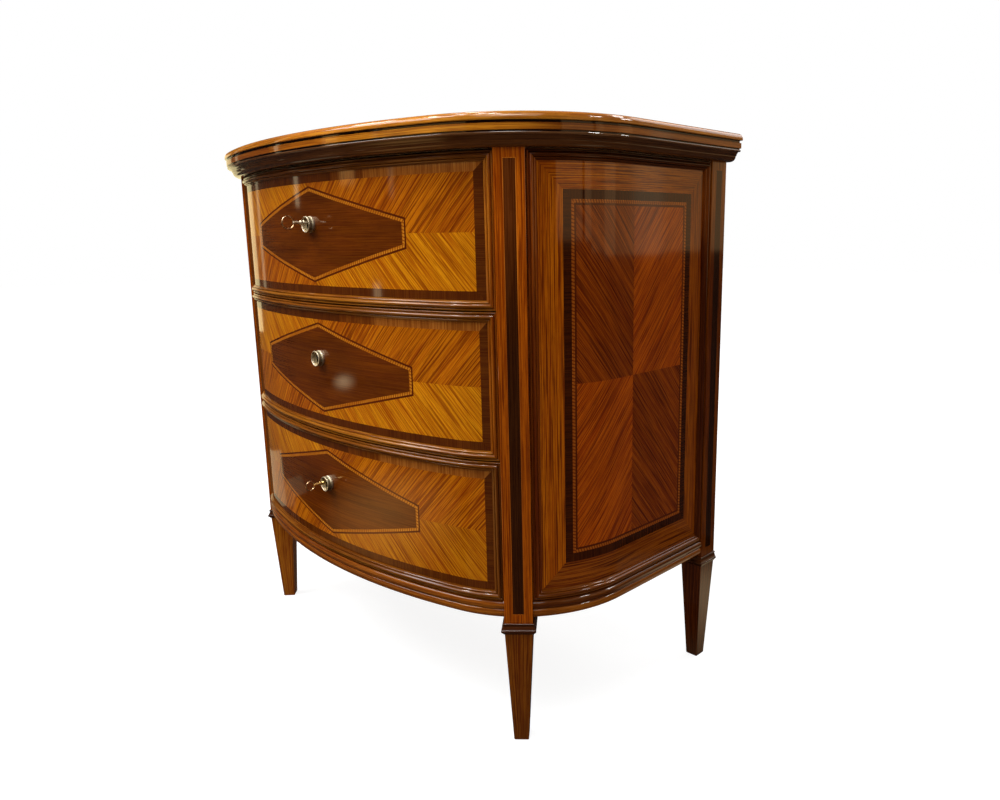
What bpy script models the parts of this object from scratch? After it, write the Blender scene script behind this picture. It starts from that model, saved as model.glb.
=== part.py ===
"""A bow-fronted demilune chest of three drawers on four tapered legs.

Metres, +Z up, standing on Z = 0, the drawers opening towards -Y. Every plan shape follows one
reference line: a shallow front arc, two tighter corner arcs and two straight sides. A run is a
length along that line from the middle of the front, positive to +X, and an offset is a distance
out from it.
"""
import math

import bmesh
import bpy
from mathutils import Matrix, Vector

# Reference line of the plan
plan_half_width = 0.435
side_straight = 0.256
corner_radius = 0.211
bow_depth = 0.032
front_steps = 24
side_steps = 12
outline_front_steps = 7
outline_corner_steps = 16
turn_weight = 0.6
halvings = 50
quarter_steps = 5
quarter_turn = math.pi / 2
smooth_angle = math.radians(35)

# Clearances
seat_gap = 0.0003
front_gap = 0.0016
post_gap = 0.0012
cut_overrun = 0.002
weld_distance = 0.00001

# Posts, legs and collars
post_angle = math.radians(42.2)
post_width = 0.0405
post_face_offset = -0.004
rear_post_width = 0.040
rear_post_offset = -0.010
foot_width = 0.022
leg_height = 0.1755
collar_height = 0.0165
collar_reach = 0.0044
collar_outline_shares = ((0.0, 1.0), (0.36, 1.0), (0.42, 0.9), (0.22, 0.82), (0.82, 0.42),
                         (1.0, 0.34), (0.94, 0.24), (0.2, 0.0), (0.0, 0.0))

# Base moulding, base board and rails
base_lift = 0.0035
base_height = 0.0255
base_crest_offset = -0.0095
base_reach = 0.0065
base_outline_shares = ((0.30, 1.0), (0.78, 0.93), (1.0, 0.77), (0.74, 0.58), (0.42, 0.53),
                       (0.76, 0.46), (0.82, 0.26), (0.5, 0.07), (0.0, 0.0))
rail_thickness = 0.016
rail_tail = 0.0140

# Drawer fronts and their mitred frames
front_height = 0.2037
front_face_offset = -0.0155
front_thickness = 0.020
frame_width = 0.0135
frame_rise = 0.0063
frame_outline_shares = ((0.0, 0.0), (0.0, 0.5), (0.07, 0.76), (0.24, 0.97), (0.44, 1.0),
                        (0.66, 0.82), (0.83, 0.42), (0.88, 0.2), (1.0, 0.18), (1.0, 0.0))

# Side panels
panel_face_offset = -0.016
panel_thickness = 0.014
panel_frame_margin = 0.001

# Cornice and top
fascia_offset = 0.015
cornice_back_offset = -0.012
cornice_foot_offset = -0.0040
cornice_height = 0.027
ovolo_reach = 0.0098
ovolo_drop = 0.0077
ovolo_fillet = 0.0007
bead_reach = 0.0060
bead_drop = 0.0061
top_thickness = 0.0145
top_offset = 0.0173
top_round_width = 0.013
top_round_height = 0.0117
top_under_offset = 0.0148

# Back panel, partitions and runners
back_thickness = 0.006
back_inset = 0.006
partition_thickness = 0.012
runner_width = 0.021
runner_clearance = 0.0015
partition_setback = 0.0063

# Drawer boxes
box_side_thickness = 0.012
box_headroom = 0.006
box_rear_clearance = 0.012
box_back_thickness = 0.011
bottom_thickness = 0.0055
bottom_lift = 0.008
groove_depth = 0.004
back_drop = 0.010

# Locks, bolts and escutcheons
lock_rise = 0.018
lock_width = 0.046
lock_height = 0.042
lock_depth = 0.0145
lock_wall = 0.002
flange_radius = 0.0128
flange_rise = 0.0085
flange_below = 0.0027
flange_lip = 0.0016
flange_dish_radius = 0.0094
flange_dish = 0.0027
barrel_radius = 0.0082
keyhole_radius = 0.0027
keyhole_slot_width = 0.0026
keyhole_slot_drop = 0.0078
bolt_width = 0.012
bolt_thickness = 0.003
bolt_foot_width = 0.026
bolt_foot_height = 0.013
bolt_throw = 0.009
bolt_play = 0.0004
bolt_headroom = 0.0008

# Keys
key_stem_radius = 0.0021
key_wire_radius = 0.0010
key_collar_radius = 0.0034
key_collar_length = 0.0075
key_collar_stand = 0.0105
key_bit_drop = 0.0072
key_bit_width = 0.0020
key_bit_depth = 0.0042
key_bow_top_radius = 0.0104
key_bow_bottom_radius = 0.0083
key_top_reach = 0.0371
key_bottom_reach = 0.034

# Colours
golden_wood = (0.46, 0.20, 0.045)
brown_wood = (0.25, 0.075, 0.025)
dark_wood = (0.09, 0.03, 0.018)
pale_wood = (0.55, 0.38, 0.20)
silver_metal = (0.62, 0.58, 0.52)
brass_metal = (0.72, 0.52, 0.22)
steel_metal = (0.42, 0.41, 0.40)

# Worked out from the sizes above
key_sizes = {"top": (key_bow_top_radius, key_top_reach),
             "bottom": (key_bow_bottom_radius, key_bottom_reach)}
plan_depth = side_straight + corner_radius + bow_depth
total_depth = plan_depth + front_face_offset + key_bow_top_radius + key_top_reach
back_y = total_depth / 2
corner_x = plan_half_width - corner_radius
corner_y = back_y - side_straight
front_span = corner_radius + bow_depth
front_radius = (corner_x ** 2 + front_span ** 2 - corner_radius ** 2) / (2 * bow_depth)
front_centre_y = back_y - plan_depth + front_radius
front_sweep = math.atan2(corner_x, front_radius - front_span)
front_run = front_radius * front_sweep
corner_run = corner_radius * (quarter_turn - front_sweep)
whole_run = front_run + corner_run + side_straight

collar_top = leg_height + collar_height
base_bottom = collar_top + base_lift
base_top = base_bottom + base_height
pitch = front_height + front_gap
carcase_top = base_top + 3 * pitch + front_gap
cornice_top = carcase_top + cornice_height
total_height = cornice_top + top_thickness
front_back_offset = front_face_offset - front_thickness
rail_offset = front_back_offset - post_gap + seat_gap
back_panel_y = back_y - back_inset - back_thickness

chest = bpy.data.collections.new("demilune_chest_of_drawers")
cutters = bpy.data.collections.new("cutters")


# Points on the plan

def plan_point(run, offset):
    """The point at a run along the reference line, moved out by an offset."""
    side = -1 if run < 0 else 1
    way = abs(run)
    if way < front_run:
        angle = way / front_radius
        x = (front_radius + offset) * math.sin(angle)
        y = front_centre_y - (front_radius + offset) * math.cos(angle)
    elif way < front_run + corner_run:
        angle = front_sweep + (way - front_run) / corner_radius
        x = corner_x + (corner_radius + offset) * math.sin(angle)
        y = corner_y - (corner_radius + offset) * math.cos(angle)
    else:
        x = plan_half_width + offset
        y = corner_y + way - front_run - corner_run
    return side * x, y


def front_y(x, offset):
    """The y of the offset line at x, where x lies on its front or corner arc."""
    if abs(x) < (front_radius + offset) * math.sin(front_sweep):
        return front_centre_y - math.sqrt((front_radius + offset) ** 2 - x ** 2)
    return corner_y - math.sqrt((corner_radius + offset) ** 2 - (abs(x) - corner_x) ** 2)


def run_beside_post(offset, outward, gap):
    """The run where an offset line meets a side plane of the front post."""
    half = post_width / 2 + gap
    angle = post_angle + outward * math.asin(half / (corner_radius + offset))
    return front_run + (angle - front_sweep) * corner_radius


def front_stretch(offset, gap):
    """Start and end run of what lies between the two front posts."""
    end = run_beside_post(offset, -1, gap)
    return -end, end


def side_stretch(offset, gap):
    """Start and end run of what lies between the front and the rear post."""
    return run_beside_post(offset, 1, gap), whole_run - rear_post_width - gap


def point_on(stretch, share, offset, gap):
    start, end = stretch(offset, gap)
    return plan_point(start + (end - start) * share, offset)


def spread(steps):
    return [step / steps for step in range(steps + 1)]


def travel(run):
    """Distance along the line with its turning counted in, so that stations crowd where it bends."""
    way = abs(run)
    turn = min(way, front_run) / front_radius
    turn += min(max(way - front_run, 0.0), corner_run) / corner_radius
    return math.copysign(way + turn_weight * turn, run)


def run_at(distance):
    """The run that a travelled distance leads to."""
    low, high = -whole_run, whole_run
    for _ in range(halvings):
        middle = (low + high) / 2
        if travel(middle) < distance:
            low = middle
        else:
            high = middle
    return (low + high) / 2


def station_shares(stretch, steps):
    """Shares of a stretch that take equal travel, the same for every offset."""
    start, end = stretch(front_face_offset, seat_gap)
    near, far = travel(start), travel(end)
    runs = [run_at(near + (far - near) * share) for share in spread(steps)]
    return [min(max((run - start) / (end - start), 0.0), 1.0) for run in runs]


# Places that follow the inner rear edge of the front posts
behind_post = post_face_offset - post_width - seat_gap
inner_edge_x, inner_edge_y = point_on(front_stretch, 1, behind_post, seat_gap)
partition_inner = inner_edge_x - partition_setback
box_half_width = partition_inner - runner_clearance
rail_back_y = inner_edge_y + rail_tail


def whole_outline(offset):
    """The closed demilune outline at an offset, from one back corner round to the other."""
    front_runs = [front_run * share for share in spread(outline_front_steps)]
    corner_runs = [front_run + corner_run * share for share in spread(outline_corner_steps)]
    right = front_runs + corner_runs[1:] + [whole_run]
    runs = [-run for run in reversed(right)] + right[1:]
    return [plan_point(run, offset) for run in runs]


def quarter(centre, width, height, start, end, steps):
    """Points of part of an ellipse between two angles."""
    angles = [start + (end - start) * share for share in spread(steps)]
    return [(centre[0] + width * math.cos(a), centre[1] + height * math.sin(a)) for a in angles]


# Making pieces

def finish(piece, colour, roughness, metallic=0.0):
    material = bpy.data.materials.new(piece.name + "_finish")
    material.use_nodes = True
    shader = material.node_tree.nodes["Principled BSDF"]
    shader.inputs["Base Color"].default_value = (*colour, 1.0)
    shader.inputs["Roughness"].default_value = roughness
    shader.inputs["Metallic"].default_value = metallic
    material.diffuse_color = (*colour, 1.0)
    piece.data.materials.append(material)
    return piece


def piece_from(name, bm, collection=chest):
    bmesh.ops.recalc_face_normals(bm, faces=bm.faces)
    mesh = bpy.data.meshes.new(name)
    bm.to_mesh(mesh)
    bm.free()
    mesh.shade_smooth()
    mesh.set_sharp_from_angle(angle=smooth_angle)
    piece = bpy.data.objects.new(name, mesh)
    collection.objects.link(piece)
    return piece


def loft(name, rings, closed=False, collection=chest):
    """A solid through rings of as many points each, capped unless it closes on itself."""
    bm = bmesh.new()
    rows = [[bm.verts.new(point) for point in ring] for ring in rings]
    following = rows[1:] + rows[:1] if closed else rows[1:]
    for near, far in zip(rows, following):
        for index in range(len(near)):
            after = (index + 1) % len(near)
            bm.faces.new((near[index], near[after], far[after], far[index]))
    if not closed:
        bm.faces.new(rows[0])
        bm.faces.new(list(reversed(rows[-1])))
    return piece_from(name, bm, collection)


def box(name, low, high, collection=chest):
    size = Vector(high) - Vector(low)
    middle = (Vector(high) + Vector(low)) / 2
    bm = bmesh.new()
    bmesh.ops.create_cube(bm, size=1, matrix=Matrix.Translation(middle) @ Matrix.Diagonal((*size, 1)))
    return piece_from(name, bm, collection)


def rod(name, radius, start, end, sides=16, collection=chest):
    """A round bar along Y, from one y to another, at an x and z."""
    x, start_y, z = start
    bm = bmesh.new()
    place = Matrix.Translation((x, (start_y + end) / 2, z)) @ Matrix.Rotation(quarter_turn, 4, "X")
    bmesh.ops.create_cone(bm, cap_ends=True, segments=sides, radius1=radius, radius2=radius,
                          depth=abs(end - start_y), matrix=place)
    return piece_from(name, bm, collection)


def slab(name, outline, low, high, collection=chest):
    """A flat board with a plan outline, between two heights."""
    curve = bpy.data.curves.new(name + "_outline", "CURVE")
    curve.dimensions = "2D"
    curve.fill_mode = "BOTH"
    curve.extrude = (high - low) / 2
    line = curve.splines.new("POLY")
    line.points.add(len(outline) - 1)
    for point, (x, y) in zip(line.points, outline):
        point.co = (x, y, 0, 1)
    line.use_cyclic_u = True
    guide = bpy.data.objects.new(name + "_outline", curve)
    bpy.context.scene.collection.objects.link(guide)
    bpy.context.view_layer.update()
    flat = bpy.data.meshes.new_from_object(guide.evaluated_get(bpy.context.evaluated_depsgraph_get()))
    bm = bmesh.new()
    bm.from_mesh(flat)
    bpy.data.meshes.remove(flat)
    bpy.data.objects.remove(guide)
    bpy.data.curves.remove(curve)
    bmesh.ops.remove_doubles(bm, verts=bm.verts, dist=weld_distance)
    bmesh.ops.translate(bm, verts=bm.verts, vec=(0, 0, (low + high) / 2))
    return piece_from(name, bm, collection)


def mirrored(points, side):
    return [(side * x, y) for x, y in points]


def combine(piece, tool, operation="DIFFERENCE"):
    """Cut a piece by a tool, or join the tool to it, and hide the tool."""
    tool.hide_render = True
    tool.display_type = "WIRE"
    change = piece.modifiers.new(tool.name, "BOOLEAN")
    change.operation = operation
    change.object = tool
    return piece


def sweep(name, stretch, gap, profile, steps, side=1):
    """A moulding with a section of offsets and heights, along a stretch between two posts."""
    rings = []
    for share in station_shares(stretch, steps):
        plan = [point_on(stretch, share, offset, gap) for offset, _ in profile]
        rings.append([(side * x, y, height) for (x, y), (_, height) in zip(plan, profile)])
    return loft(name, rings)


def mitred_frame(name, stretch, gap, margin, low, high, face_offset, steps, side=1):
    """Four lengths of moulding mitred round a curved panel, as one ring."""
    start, end = stretch(face_offset, gap)
    length = end - start
    profile = [(margin + frame_width * inset, seat_gap + frame_rise * rise)
               for inset, rise in frame_outline_shares]
    shares = station_shares(stretch, steps)
    stations = [(share, False) for share in shares] + [(share, True) for share in reversed(shares)]
    rings = []
    for share, at_top in stations:
        ring = []
        for inset, rise in profile:
            place = min(max(share, inset / length), 1 - inset / length)
            x, y = point_on(stretch, place, face_offset + rise, gap)
            height = high - inset if at_top else low + inset
            ring.append((side * x, y, height))
        rings.append(ring)
    return loft(name, rings, closed=True)


# Posts, legs and collars

def square(centre, angle, width, height):
    half = width / 2
    turn = Matrix.Rotation(angle, 2)
    signs = ((-1, -1), (1, -1), (1, 1), (-1, 1))
    corners = [turn @ (Vector(sign) * half) for sign in signs]
    return [(centre[0] + corner.x, centre[1] + corner.y, height) for corner in corners]


def post_axes():
    """Name, centre, turn and width of each post."""
    reach = corner_radius + post_face_offset - post_width / 2
    front_x = corner_x + reach * math.sin(post_angle)
    front_place_y = corner_y - reach * math.cos(post_angle)
    rear_x = plan_half_width + rear_post_offset - rear_post_width / 2
    rear_place_y = back_y - rear_post_width / 2
    axes = []
    for word, side in (("left", -1), ("right", 1)):
        axes.append(("front_" + word, (side * front_x, front_place_y), side * post_angle, post_width))
        axes.append(("rear_" + word, (side * rear_x, rear_place_y), 0.0, rear_post_width))
    return axes


def make_post(name, centre, angle, width):
    rings = [square(centre, angle, foot_width, 0.0),
             square(centre, angle, width, leg_height),
             square(centre, angle, width, carcase_top - seat_gap)]
    finish(loft("post_" + name, rings), brown_wood, 0.2)


def make_collar(name, centre, angle, width):
    """A flared moulding mitred round a leg, which stops flush with the back of a rear one."""
    rings = []
    turn = Matrix.Rotation(angle, 2)
    all_round = name.startswith("front")
    for across, deep in ((-1, 1), (-1, -1), (1, -1), (1, 1)):
        ring = []
        for out_share, height_share in collar_outline_shares:
            reach = width / 2 + seat_gap + collar_reach * out_share
            depth = width / 2 if deep == 1 and not all_round else reach
            spot = turn @ Vector((across * reach, deep * depth))
            height = leg_height + collar_height * height_share
            ring.append((centre[0] + spot.x, centre[1] + spot.y, height))
        rings.append(ring)
    finish(loft("collar_" + name, rings, closed=all_round), dark_wood, 0.2)


def post_notches(low, high, overhang):
    """Square cutters where a board lets the posts through."""
    tools = []
    for name, centre, angle, width in post_axes():
        wide = width + 2 * seat_gap
        rings = [square(centre, angle, wide, low - overhang),
                 square(centre, angle, wide, high + overhang)]
        tools.append(loft("notch_" + name, rings, collection=cutters))
    return tools


# Top, cornice and base

def make_top():
    low = cornice_top
    round_offset = top_offset - top_round_width
    round_height = total_height - top_round_height
    edge = [(top_under_offset, low)]
    edge += quarter((round_offset, round_height), top_round_width, top_round_height, 0.0,
                    quarter_turn, quarter_steps + 1)
    rings = [[(x, y, height) for x, y in whole_outline(offset)] for offset, height in edge]
    finish(loft("top_board", rings), golden_wood, 0.15)


def make_cornice():
    """Fascia over a small and a large ovolo, round the front and both sides."""
    low = carcase_top
    high = cornice_top - seat_gap
    ovolo_top = low + ovolo_drop
    bead_low = ovolo_top + ovolo_fillet
    profile = [(cornice_back_offset, low)]
    profile += quarter((cornice_foot_offset, ovolo_top), ovolo_reach, ovolo_drop, -quarter_turn, 0.0,
                       quarter_steps)
    profile += quarter((fascia_offset - bead_reach, bead_low + bead_drop), bead_reach, bead_drop,
                       -quarter_turn, 0.0, quarter_steps - 2)
    profile += [(fascia_offset, high), (cornice_back_offset, high)]
    outlines = [whole_outline(offset) for offset, _ in profile]
    rings = []
    for index in range(len(outlines[0])):
        rings.append([(*outline[index], height) for outline, (_, height) in zip(outlines, profile)])
    finish(loft("cornice_moulding", rings), brown_wood, 0.2)


def make_sub_top():
    """The board inside the cornice, notched at the back for the back panel."""
    inner_x = plan_half_width + rear_post_offset - rear_post_width
    edge_y = back_panel_y - seat_gap
    notch = [(inner_x, back_y), (inner_x, edge_y), (-inner_x, edge_y), (-inner_x, back_y)]
    outline = whole_outline(cornice_back_offset - seat_gap) + notch
    board = slab("sub_top", outline, carcase_top, cornice_top - seat_gap)
    cut_mortise(board, 2)
    finish(board, pale_wood, 0.6)


def base_outline():
    """The base board's outline, on the stations of the mouldings in front of it."""
    fronts = station_shares(front_stretch, front_steps)
    sides = station_shares(side_stretch, side_steps)
    front = [point_on(front_stretch, share, rail_offset, -cut_overrun) for share in fronts]
    right = [point_on(side_stretch, share, rail_offset, -cut_overrun) for share in sides]
    right = right[:-1] + [(right[-1][0], back_panel_y - seat_gap)]
    return [(-x, y) for x, y in reversed(right)] + front + right


def make_base_board():
    low = rail_level(0) - rail_thickness / 2
    high = rail_level(0) + rail_thickness / 2
    board = slab("base_board", base_outline(), low, high)
    for tool in post_notches(low, high, cut_overrun):
        combine(board, tool)
    finish(board, pale_wood, 0.6)


def make_base_mouldings():
    foot_offset = base_crest_offset - base_reach
    profile = [(foot_offset + base_reach * reach, base_bottom + base_height * height)
               for reach, height in base_outline_shares]
    inner = rail_offset + seat_gap
    profile = [(inner, base_top)] + profile + [(inner, base_bottom)]
    finish(sweep("base_moulding_front", front_stretch, seat_gap, profile, front_steps), brown_wood, 0.2)
    for word, side in (("left", -1), ("right", 1)):
        name = "base_moulding_" + word
        finish(sweep(name, side_stretch, seat_gap, profile, side_steps, side), brown_wood, 0.2)


# Carcase

def rail_level(index):
    """Middle height of the gap under drawer front number index, counted from the bottom."""
    return base_top + front_gap / 2 + index * pitch


def cut_mortise(board, index):
    """The slot above drawer number index that its lock bolt rises into."""
    width = bolt_width / 2 + bolt_play
    depth = bolt_thickness / 2 + bolt_play
    y = bolt_y()
    low = bolt_top(index) - cut_overrun
    high = bolt_top(index) + bolt_throw + cut_overrun
    combine(board, box("mortise_" + board.name, (-width, y - depth, low),
                       (width, y + depth, high), cutters))


def make_rail(name, index):
    """A rail behind the gap between two drawer fronts, from post to post."""
    low = rail_level(index) - rail_thickness / 2
    high = rail_level(index) + rail_thickness / 2
    shares = station_shares(front_stretch, front_steps)
    front = [point_on(front_stretch, share, rail_offset, seat_gap) for share in shares]
    back = [(inner_edge_x, inner_edge_y), (partition_inner, rail_back_y),
            (-partition_inner, rail_back_y), (-inner_edge_x, inner_edge_y)]
    rail = slab(name, front + back, low, high)
    cut_mortise(rail, index - 1)
    finish(rail, pale_wood, 0.6)


def make_side_panel(word, side):
    low = base_top + seat_gap
    high = carcase_top - seat_gap
    inner = panel_face_offset - panel_thickness
    profile = [(panel_face_offset, low), (panel_face_offset, high), (inner, high), (inner, low)]
    panel = sweep("side_panel_" + word, side_stretch, seat_gap, profile, side_steps, side)
    finish(panel, golden_wood, 0.15)
    frame = mitred_frame("side_frame_" + word, side_stretch, seat_gap, panel_frame_margin,
                         low, high, panel_face_offset, side_steps, side)
    finish(frame, brown_wood, 0.15)


def make_partition(word, side):
    inner = side * partition_inner
    outer = inner + side * partition_thickness
    low = rail_level(0) + rail_thickness / 2 + seat_gap
    front = rail_back_y + seat_gap
    finish(box("partition_" + word, (min(inner, outer), front, low),
               (max(inner, outer), back_panel_y - seat_gap, carcase_top - seat_gap)), pale_wood, 0.6)


def make_runner(drawer, index, word, side):
    outer = side * (partition_inner - seat_gap)
    inner = outer - side * runner_width
    seat = rail_back_y + seat_gap
    low = drawer_seat(index) - rail_thickness
    finish(box("runner_%s_%s" % (drawer, word), (min(inner, outer), seat, low),
               (max(inner, outer), back_panel_y - seat_gap, drawer_seat(index))), pale_wood, 0.6)


def make_back_panel():
    half = plan_half_width + rear_post_offset - rear_post_width - seat_gap
    low = rail_level(0) - rail_thickness / 2
    high = cornice_top - seat_gap
    panel = box("back_panel", (-half, back_panel_y, low), (half, back_y - back_inset, high))
    finish(panel, pale_wood, 0.6)


# Drawers

def front_low(index):
    return base_top + front_gap + index * pitch


def drawer_seat(index):
    """Height of the runners, or of the base board, that drawer number index slides on."""
    return rail_level(index) + rail_thickness / 2


def side_low(index):
    return drawer_seat(index) + seat_gap


def side_high(index):
    return rail_level(index + 1) - rail_thickness / 2 - box_headroom


def lock_height_at(index):
    return front_low(index) + front_height / 2 + lock_rise


def box_rear():
    return back_panel_y - box_rear_clearance


def make_drawer_front(drawer, index):
    """The bowed front, with a groove in its inner face for the bottom board."""
    low = front_low(index)
    high = low + front_height
    groove_low = side_low(index) + bottom_lift - seat_gap
    groove_high = groove_low + bottom_thickness + 2 * seat_gap
    groove = front_back_offset + groove_depth
    profile = [(front_face_offset, low), (front_face_offset, high), (front_back_offset, high),
               (front_back_offset, groove_high), (groove, groove_high), (groove, groove_low),
               (front_back_offset, groove_low), (front_back_offset, low)]
    front = sweep("drawer_%s_front" % drawer, front_stretch, post_gap, profile, front_steps)
    face = front_y(0.0, front_face_offset)
    combine(front, rod("barrel_hole_" + drawer, barrel_radius + seat_gap,
                       (0.0, face - cut_overrun, lock_height_at(index) - flange_below),
                       face + front_thickness + cut_overrun, 24, cutters))
    finish(front, golden_wood, 0.15)
    frame = mitred_frame("drawer_%s_frame" % drawer, front_stretch, post_gap, 0.0,
                         low, high, front_face_offset, front_steps)
    finish(frame, brown_wood, 0.15)
    return front


def make_drawer_side(drawer, index, word, side):
    outer = box_half_width
    inner = outer - box_side_thickness
    back = box_rear()
    offset = front_back_offset - seat_gap
    outline = [(outer, front_y(outer, offset)), (outer, back), (inner, back),
               (inner, front_y(inner, offset))]
    low = side_low(index)
    board = slab("drawer_%s_side_%s" % (drawer, word), mirrored(outline, side), low, side_high(index))
    groove_outer = inner + groove_depth
    groove_inner = inner - cut_overrun
    groove_low = low + bottom_lift - seat_gap
    x_low, x_high = sorted((side * groove_inner, side * groove_outer))
    ahead = front_y(inner, offset) - front_thickness
    tool = box("groove_%s_%s" % (drawer, word), (x_low, ahead, groove_low),
               (x_high, back + cut_overrun, groove_low + bottom_thickness + 2 * seat_gap), cutters)
    combine(board, tool)
    finish(board, pale_wood, 0.55)
    return board


def make_drawer_back(drawer, index):
    """The back stands on the bottom board, between the sides."""
    half = box_half_width - box_side_thickness - seat_gap
    low = side_low(index) + bottom_lift + bottom_thickness + seat_gap
    back = box_rear()
    board = box("drawer_%s_back" % drawer, (-half, back - box_back_thickness, low),
                (half, back, side_high(index) - back_drop))
    return finish(board, pale_wood, 0.55)


def make_drawer_bottom(drawer, index):
    half = box_half_width - box_side_thickness + groove_depth - seat_gap
    offset = front_back_offset + groove_depth - seat_gap
    low = side_low(index) + bottom_lift
    line = [point_on(front_stretch, share, offset, post_gap)
            for share in station_shares(front_stretch, front_steps)]
    inside = [(x, y) for x, y in line if abs(x) < half - seat_gap]
    ends = [(side * half, front_y(half, offset)) for side in (-1, 1)]
    outline = ends[:1] + inside + ends[1:] + [(half, box_rear()), (-half, box_rear())]
    board = slab("drawer_%s_bottom" % drawer, outline, low, low + bottom_thickness)
    return finish(board, pale_wood, 0.55)


# Locks

def lock_front_y():
    """The plane of the lock case that rests on the hollow inner face of the front."""
    return front_y(lock_width / 2, front_back_offset) + seat_gap


def bolt_y():
    """Middle plane of the bolt, in the rear of the lock case."""
    return lock_front_y() + lock_depth - lock_wall - bolt_play - bolt_thickness / 2


def bolt_top(index):
    """Top of the drawn-back bolt, just under what is above the drawer."""
    if index == 2:
        return carcase_top - bolt_headroom
    return rail_level(index + 1) - rail_thickness / 2 - bolt_headroom


def keyhole(name, height, start_y, end_y, spare):
    """A keyhole-shaped cutter: a round hole with a slot under it."""
    tool = rod(name, keyhole_radius + spare, (0.0, start_y, height), end_y, 16, cutters)
    half = keyhole_slot_width / 2 + spare
    slot = box(name + "_slot", (-half, start_y, height - keyhole_slot_drop - spare),
               (half, end_y, height), cutters)
    return combine(tool, slot, "UNION")


def make_lock_case(drawer, index):
    height = lock_height_at(index)
    front = lock_front_y()
    half = lock_width / 2
    rise = lock_height / 2
    case = box("drawer_%s_lock_case" % drawer, (-half, front, height - rise),
               (half, front + lock_depth, height + rise))
    inside = box("lock_room_" + drawer, (lock_wall - half, front + lock_wall, height - rise + lock_wall),
                 (half - lock_wall, front + lock_depth - lock_wall, height + rise - lock_wall), cutters)
    combine(case, inside)
    combine(case, keyhole("case_keyhole_" + drawer, height, front - cut_overrun,
                          front + lock_wall + cut_overrun, 0.0))
    width = bolt_width / 2 + bolt_play
    depth = bolt_thickness / 2 + bolt_play
    combine(case, box("bolt_slot_" + drawer, (-width, bolt_y() - depth, height + rise - 2 * lock_wall),
                      (width, bolt_y() + depth, height + rise + cut_overrun), cutters))
    return finish(case, brass_metal, 0.4, 1.0)


def make_bolt(drawer, index):
    """A foot in the lock case and a bar up to what is above the drawer."""
    height = lock_height_at(index)
    floor = height - lock_height / 2 + lock_wall + bolt_play
    foot = bolt_foot_width / 2
    bar = bolt_width / 2
    shoulder = floor + bolt_foot_height
    outline = [(-foot, floor), (foot, floor), (foot, shoulder), (bar, shoulder), (bar, bolt_top(index)),
               (-bar, bolt_top(index)), (-bar, shoulder), (-foot, shoulder)]
    faces_y = (bolt_y() - bolt_thickness / 2, bolt_y() + bolt_thickness / 2)
    rings = [[(x, y, z) for x, z in outline] for y in faces_y]
    return finish(loft("drawer_%s_bolt" % drawer, rings), steel_metal, 0.35, 1.0)


def make_escutcheon(drawer, index):
    """A turned flange with a dished face and a barrel through the front, bored for the key."""
    length = front_thickness - 2 * seat_gap
    outline = [(0.0, flange_rise - flange_dish),
               (flange_dish_radius - flange_lip, flange_rise - flange_dish),
               (flange_dish_radius, flange_rise - flange_lip / 4),
               (flange_dish_radius + flange_lip, flange_rise),
               (flange_radius - flange_lip / 4, flange_rise - flange_lip),
               (flange_radius, seat_gap),
               (barrel_radius, seat_gap), (barrel_radius, -length), (0.0, -length)]
    name = "drawer_%s_escutcheon" % drawer
    mesh = bpy.data.meshes.new(name)
    edges = [(index_from, index_from + 1) for index_from in range(len(outline) - 1)]
    mesh.from_pydata([(radius, 0.0, rise) for radius, rise in outline], edges, [])
    piece = bpy.data.objects.new(name, mesh)
    chest.objects.link(piece)
    turning = piece.modifiers.new("turning", "SCREW")
    turning.steps = 24
    turning.render_steps = 24
    turning.use_merge_vertices = True
    turning.merge_threshold = weld_distance
    piece.rotation_euler = (quarter_turn, 0.0, 0.0)
    face = front_y(0.0, front_face_offset)
    piece.location = (0.0, face, lock_height_at(index) - flange_below)
    hole = keyhole("keyhole_" + drawer, lock_height_at(index), face - flange_rise - cut_overrun,
                   face + front_thickness + cut_overrun, 0.0)
    combine(piece, hole)
    return finish(piece, silver_metal, 0.3, 1.0)


def make_bow(name, radius, y, z, steps=24, sides=8):
    """A ring of round wire in the plane x = 0."""
    rings = []
    for step in range(steps):
        around = 4 * quarter_turn * step / steps
        ring = []
        for index in range(sides):
            across = 4 * quarter_turn * index / sides
            reach = radius + key_wire_radius * math.cos(across)
            ring.append((key_wire_radius * math.sin(across), y + reach * math.cos(around),
                         z + reach * math.sin(around)))
        rings.append(ring)
    return loft(name, rings, closed=True, collection=cutters)


def make_key(drawer, index):
    """A bow, a stem with a collar, and a bit that hangs inside the lock case."""
    bow_radius, reach = key_sizes[drawer]
    height = lock_height_at(index)
    face = front_y(0.0, front_face_offset)
    bow_y = face - reach
    tip = bolt_y() - bolt_thickness / 2 - bolt_play
    stem_start = bow_y + bow_radius - key_wire_radius
    key = rod("key_" + drawer, key_stem_radius, (0.0, stem_start, height), tip, 12)
    combine(key, make_bow("bow_" + drawer, bow_radius - key_wire_radius, bow_y, height), "UNION")
    collar_y = face - key_collar_stand
    combine(key, rod("key_collar_" + drawer, key_collar_radius, (0.0, collar_y, height),
                     collar_y - key_collar_length, 12, cutters), "UNION")
    half = key_bit_width / 2
    bit = box("key_bit_" + drawer, (-half, tip - key_bit_depth, height - key_bit_drop),
              (half, tip - seat_gap, height - key_stem_radius / 2), cutters)
    combine(key, bit, "UNION")
    return finish(key, brass_metal if drawer == "bottom" else silver_metal, 0.3, 1.0)


def move_origin(piece, point):
    """Put a piece's origin at a point of the world without moving its shape."""
    piece.data.transform(Matrix.Translation(-Vector(point)))
    piece.location = point


def hang(piece, carrier, origin=None):
    """Parent a piece to its drawer's empty, which stands on the slide's axis."""
    if origin:
        move_origin(piece, origin)
    piece.parent = carrier
    piece.location = piece.location - carrier.location
    for change in piece.modifiers:
        if change.type == "BOOLEAN":
            hang(change.object, carrier)


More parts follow.
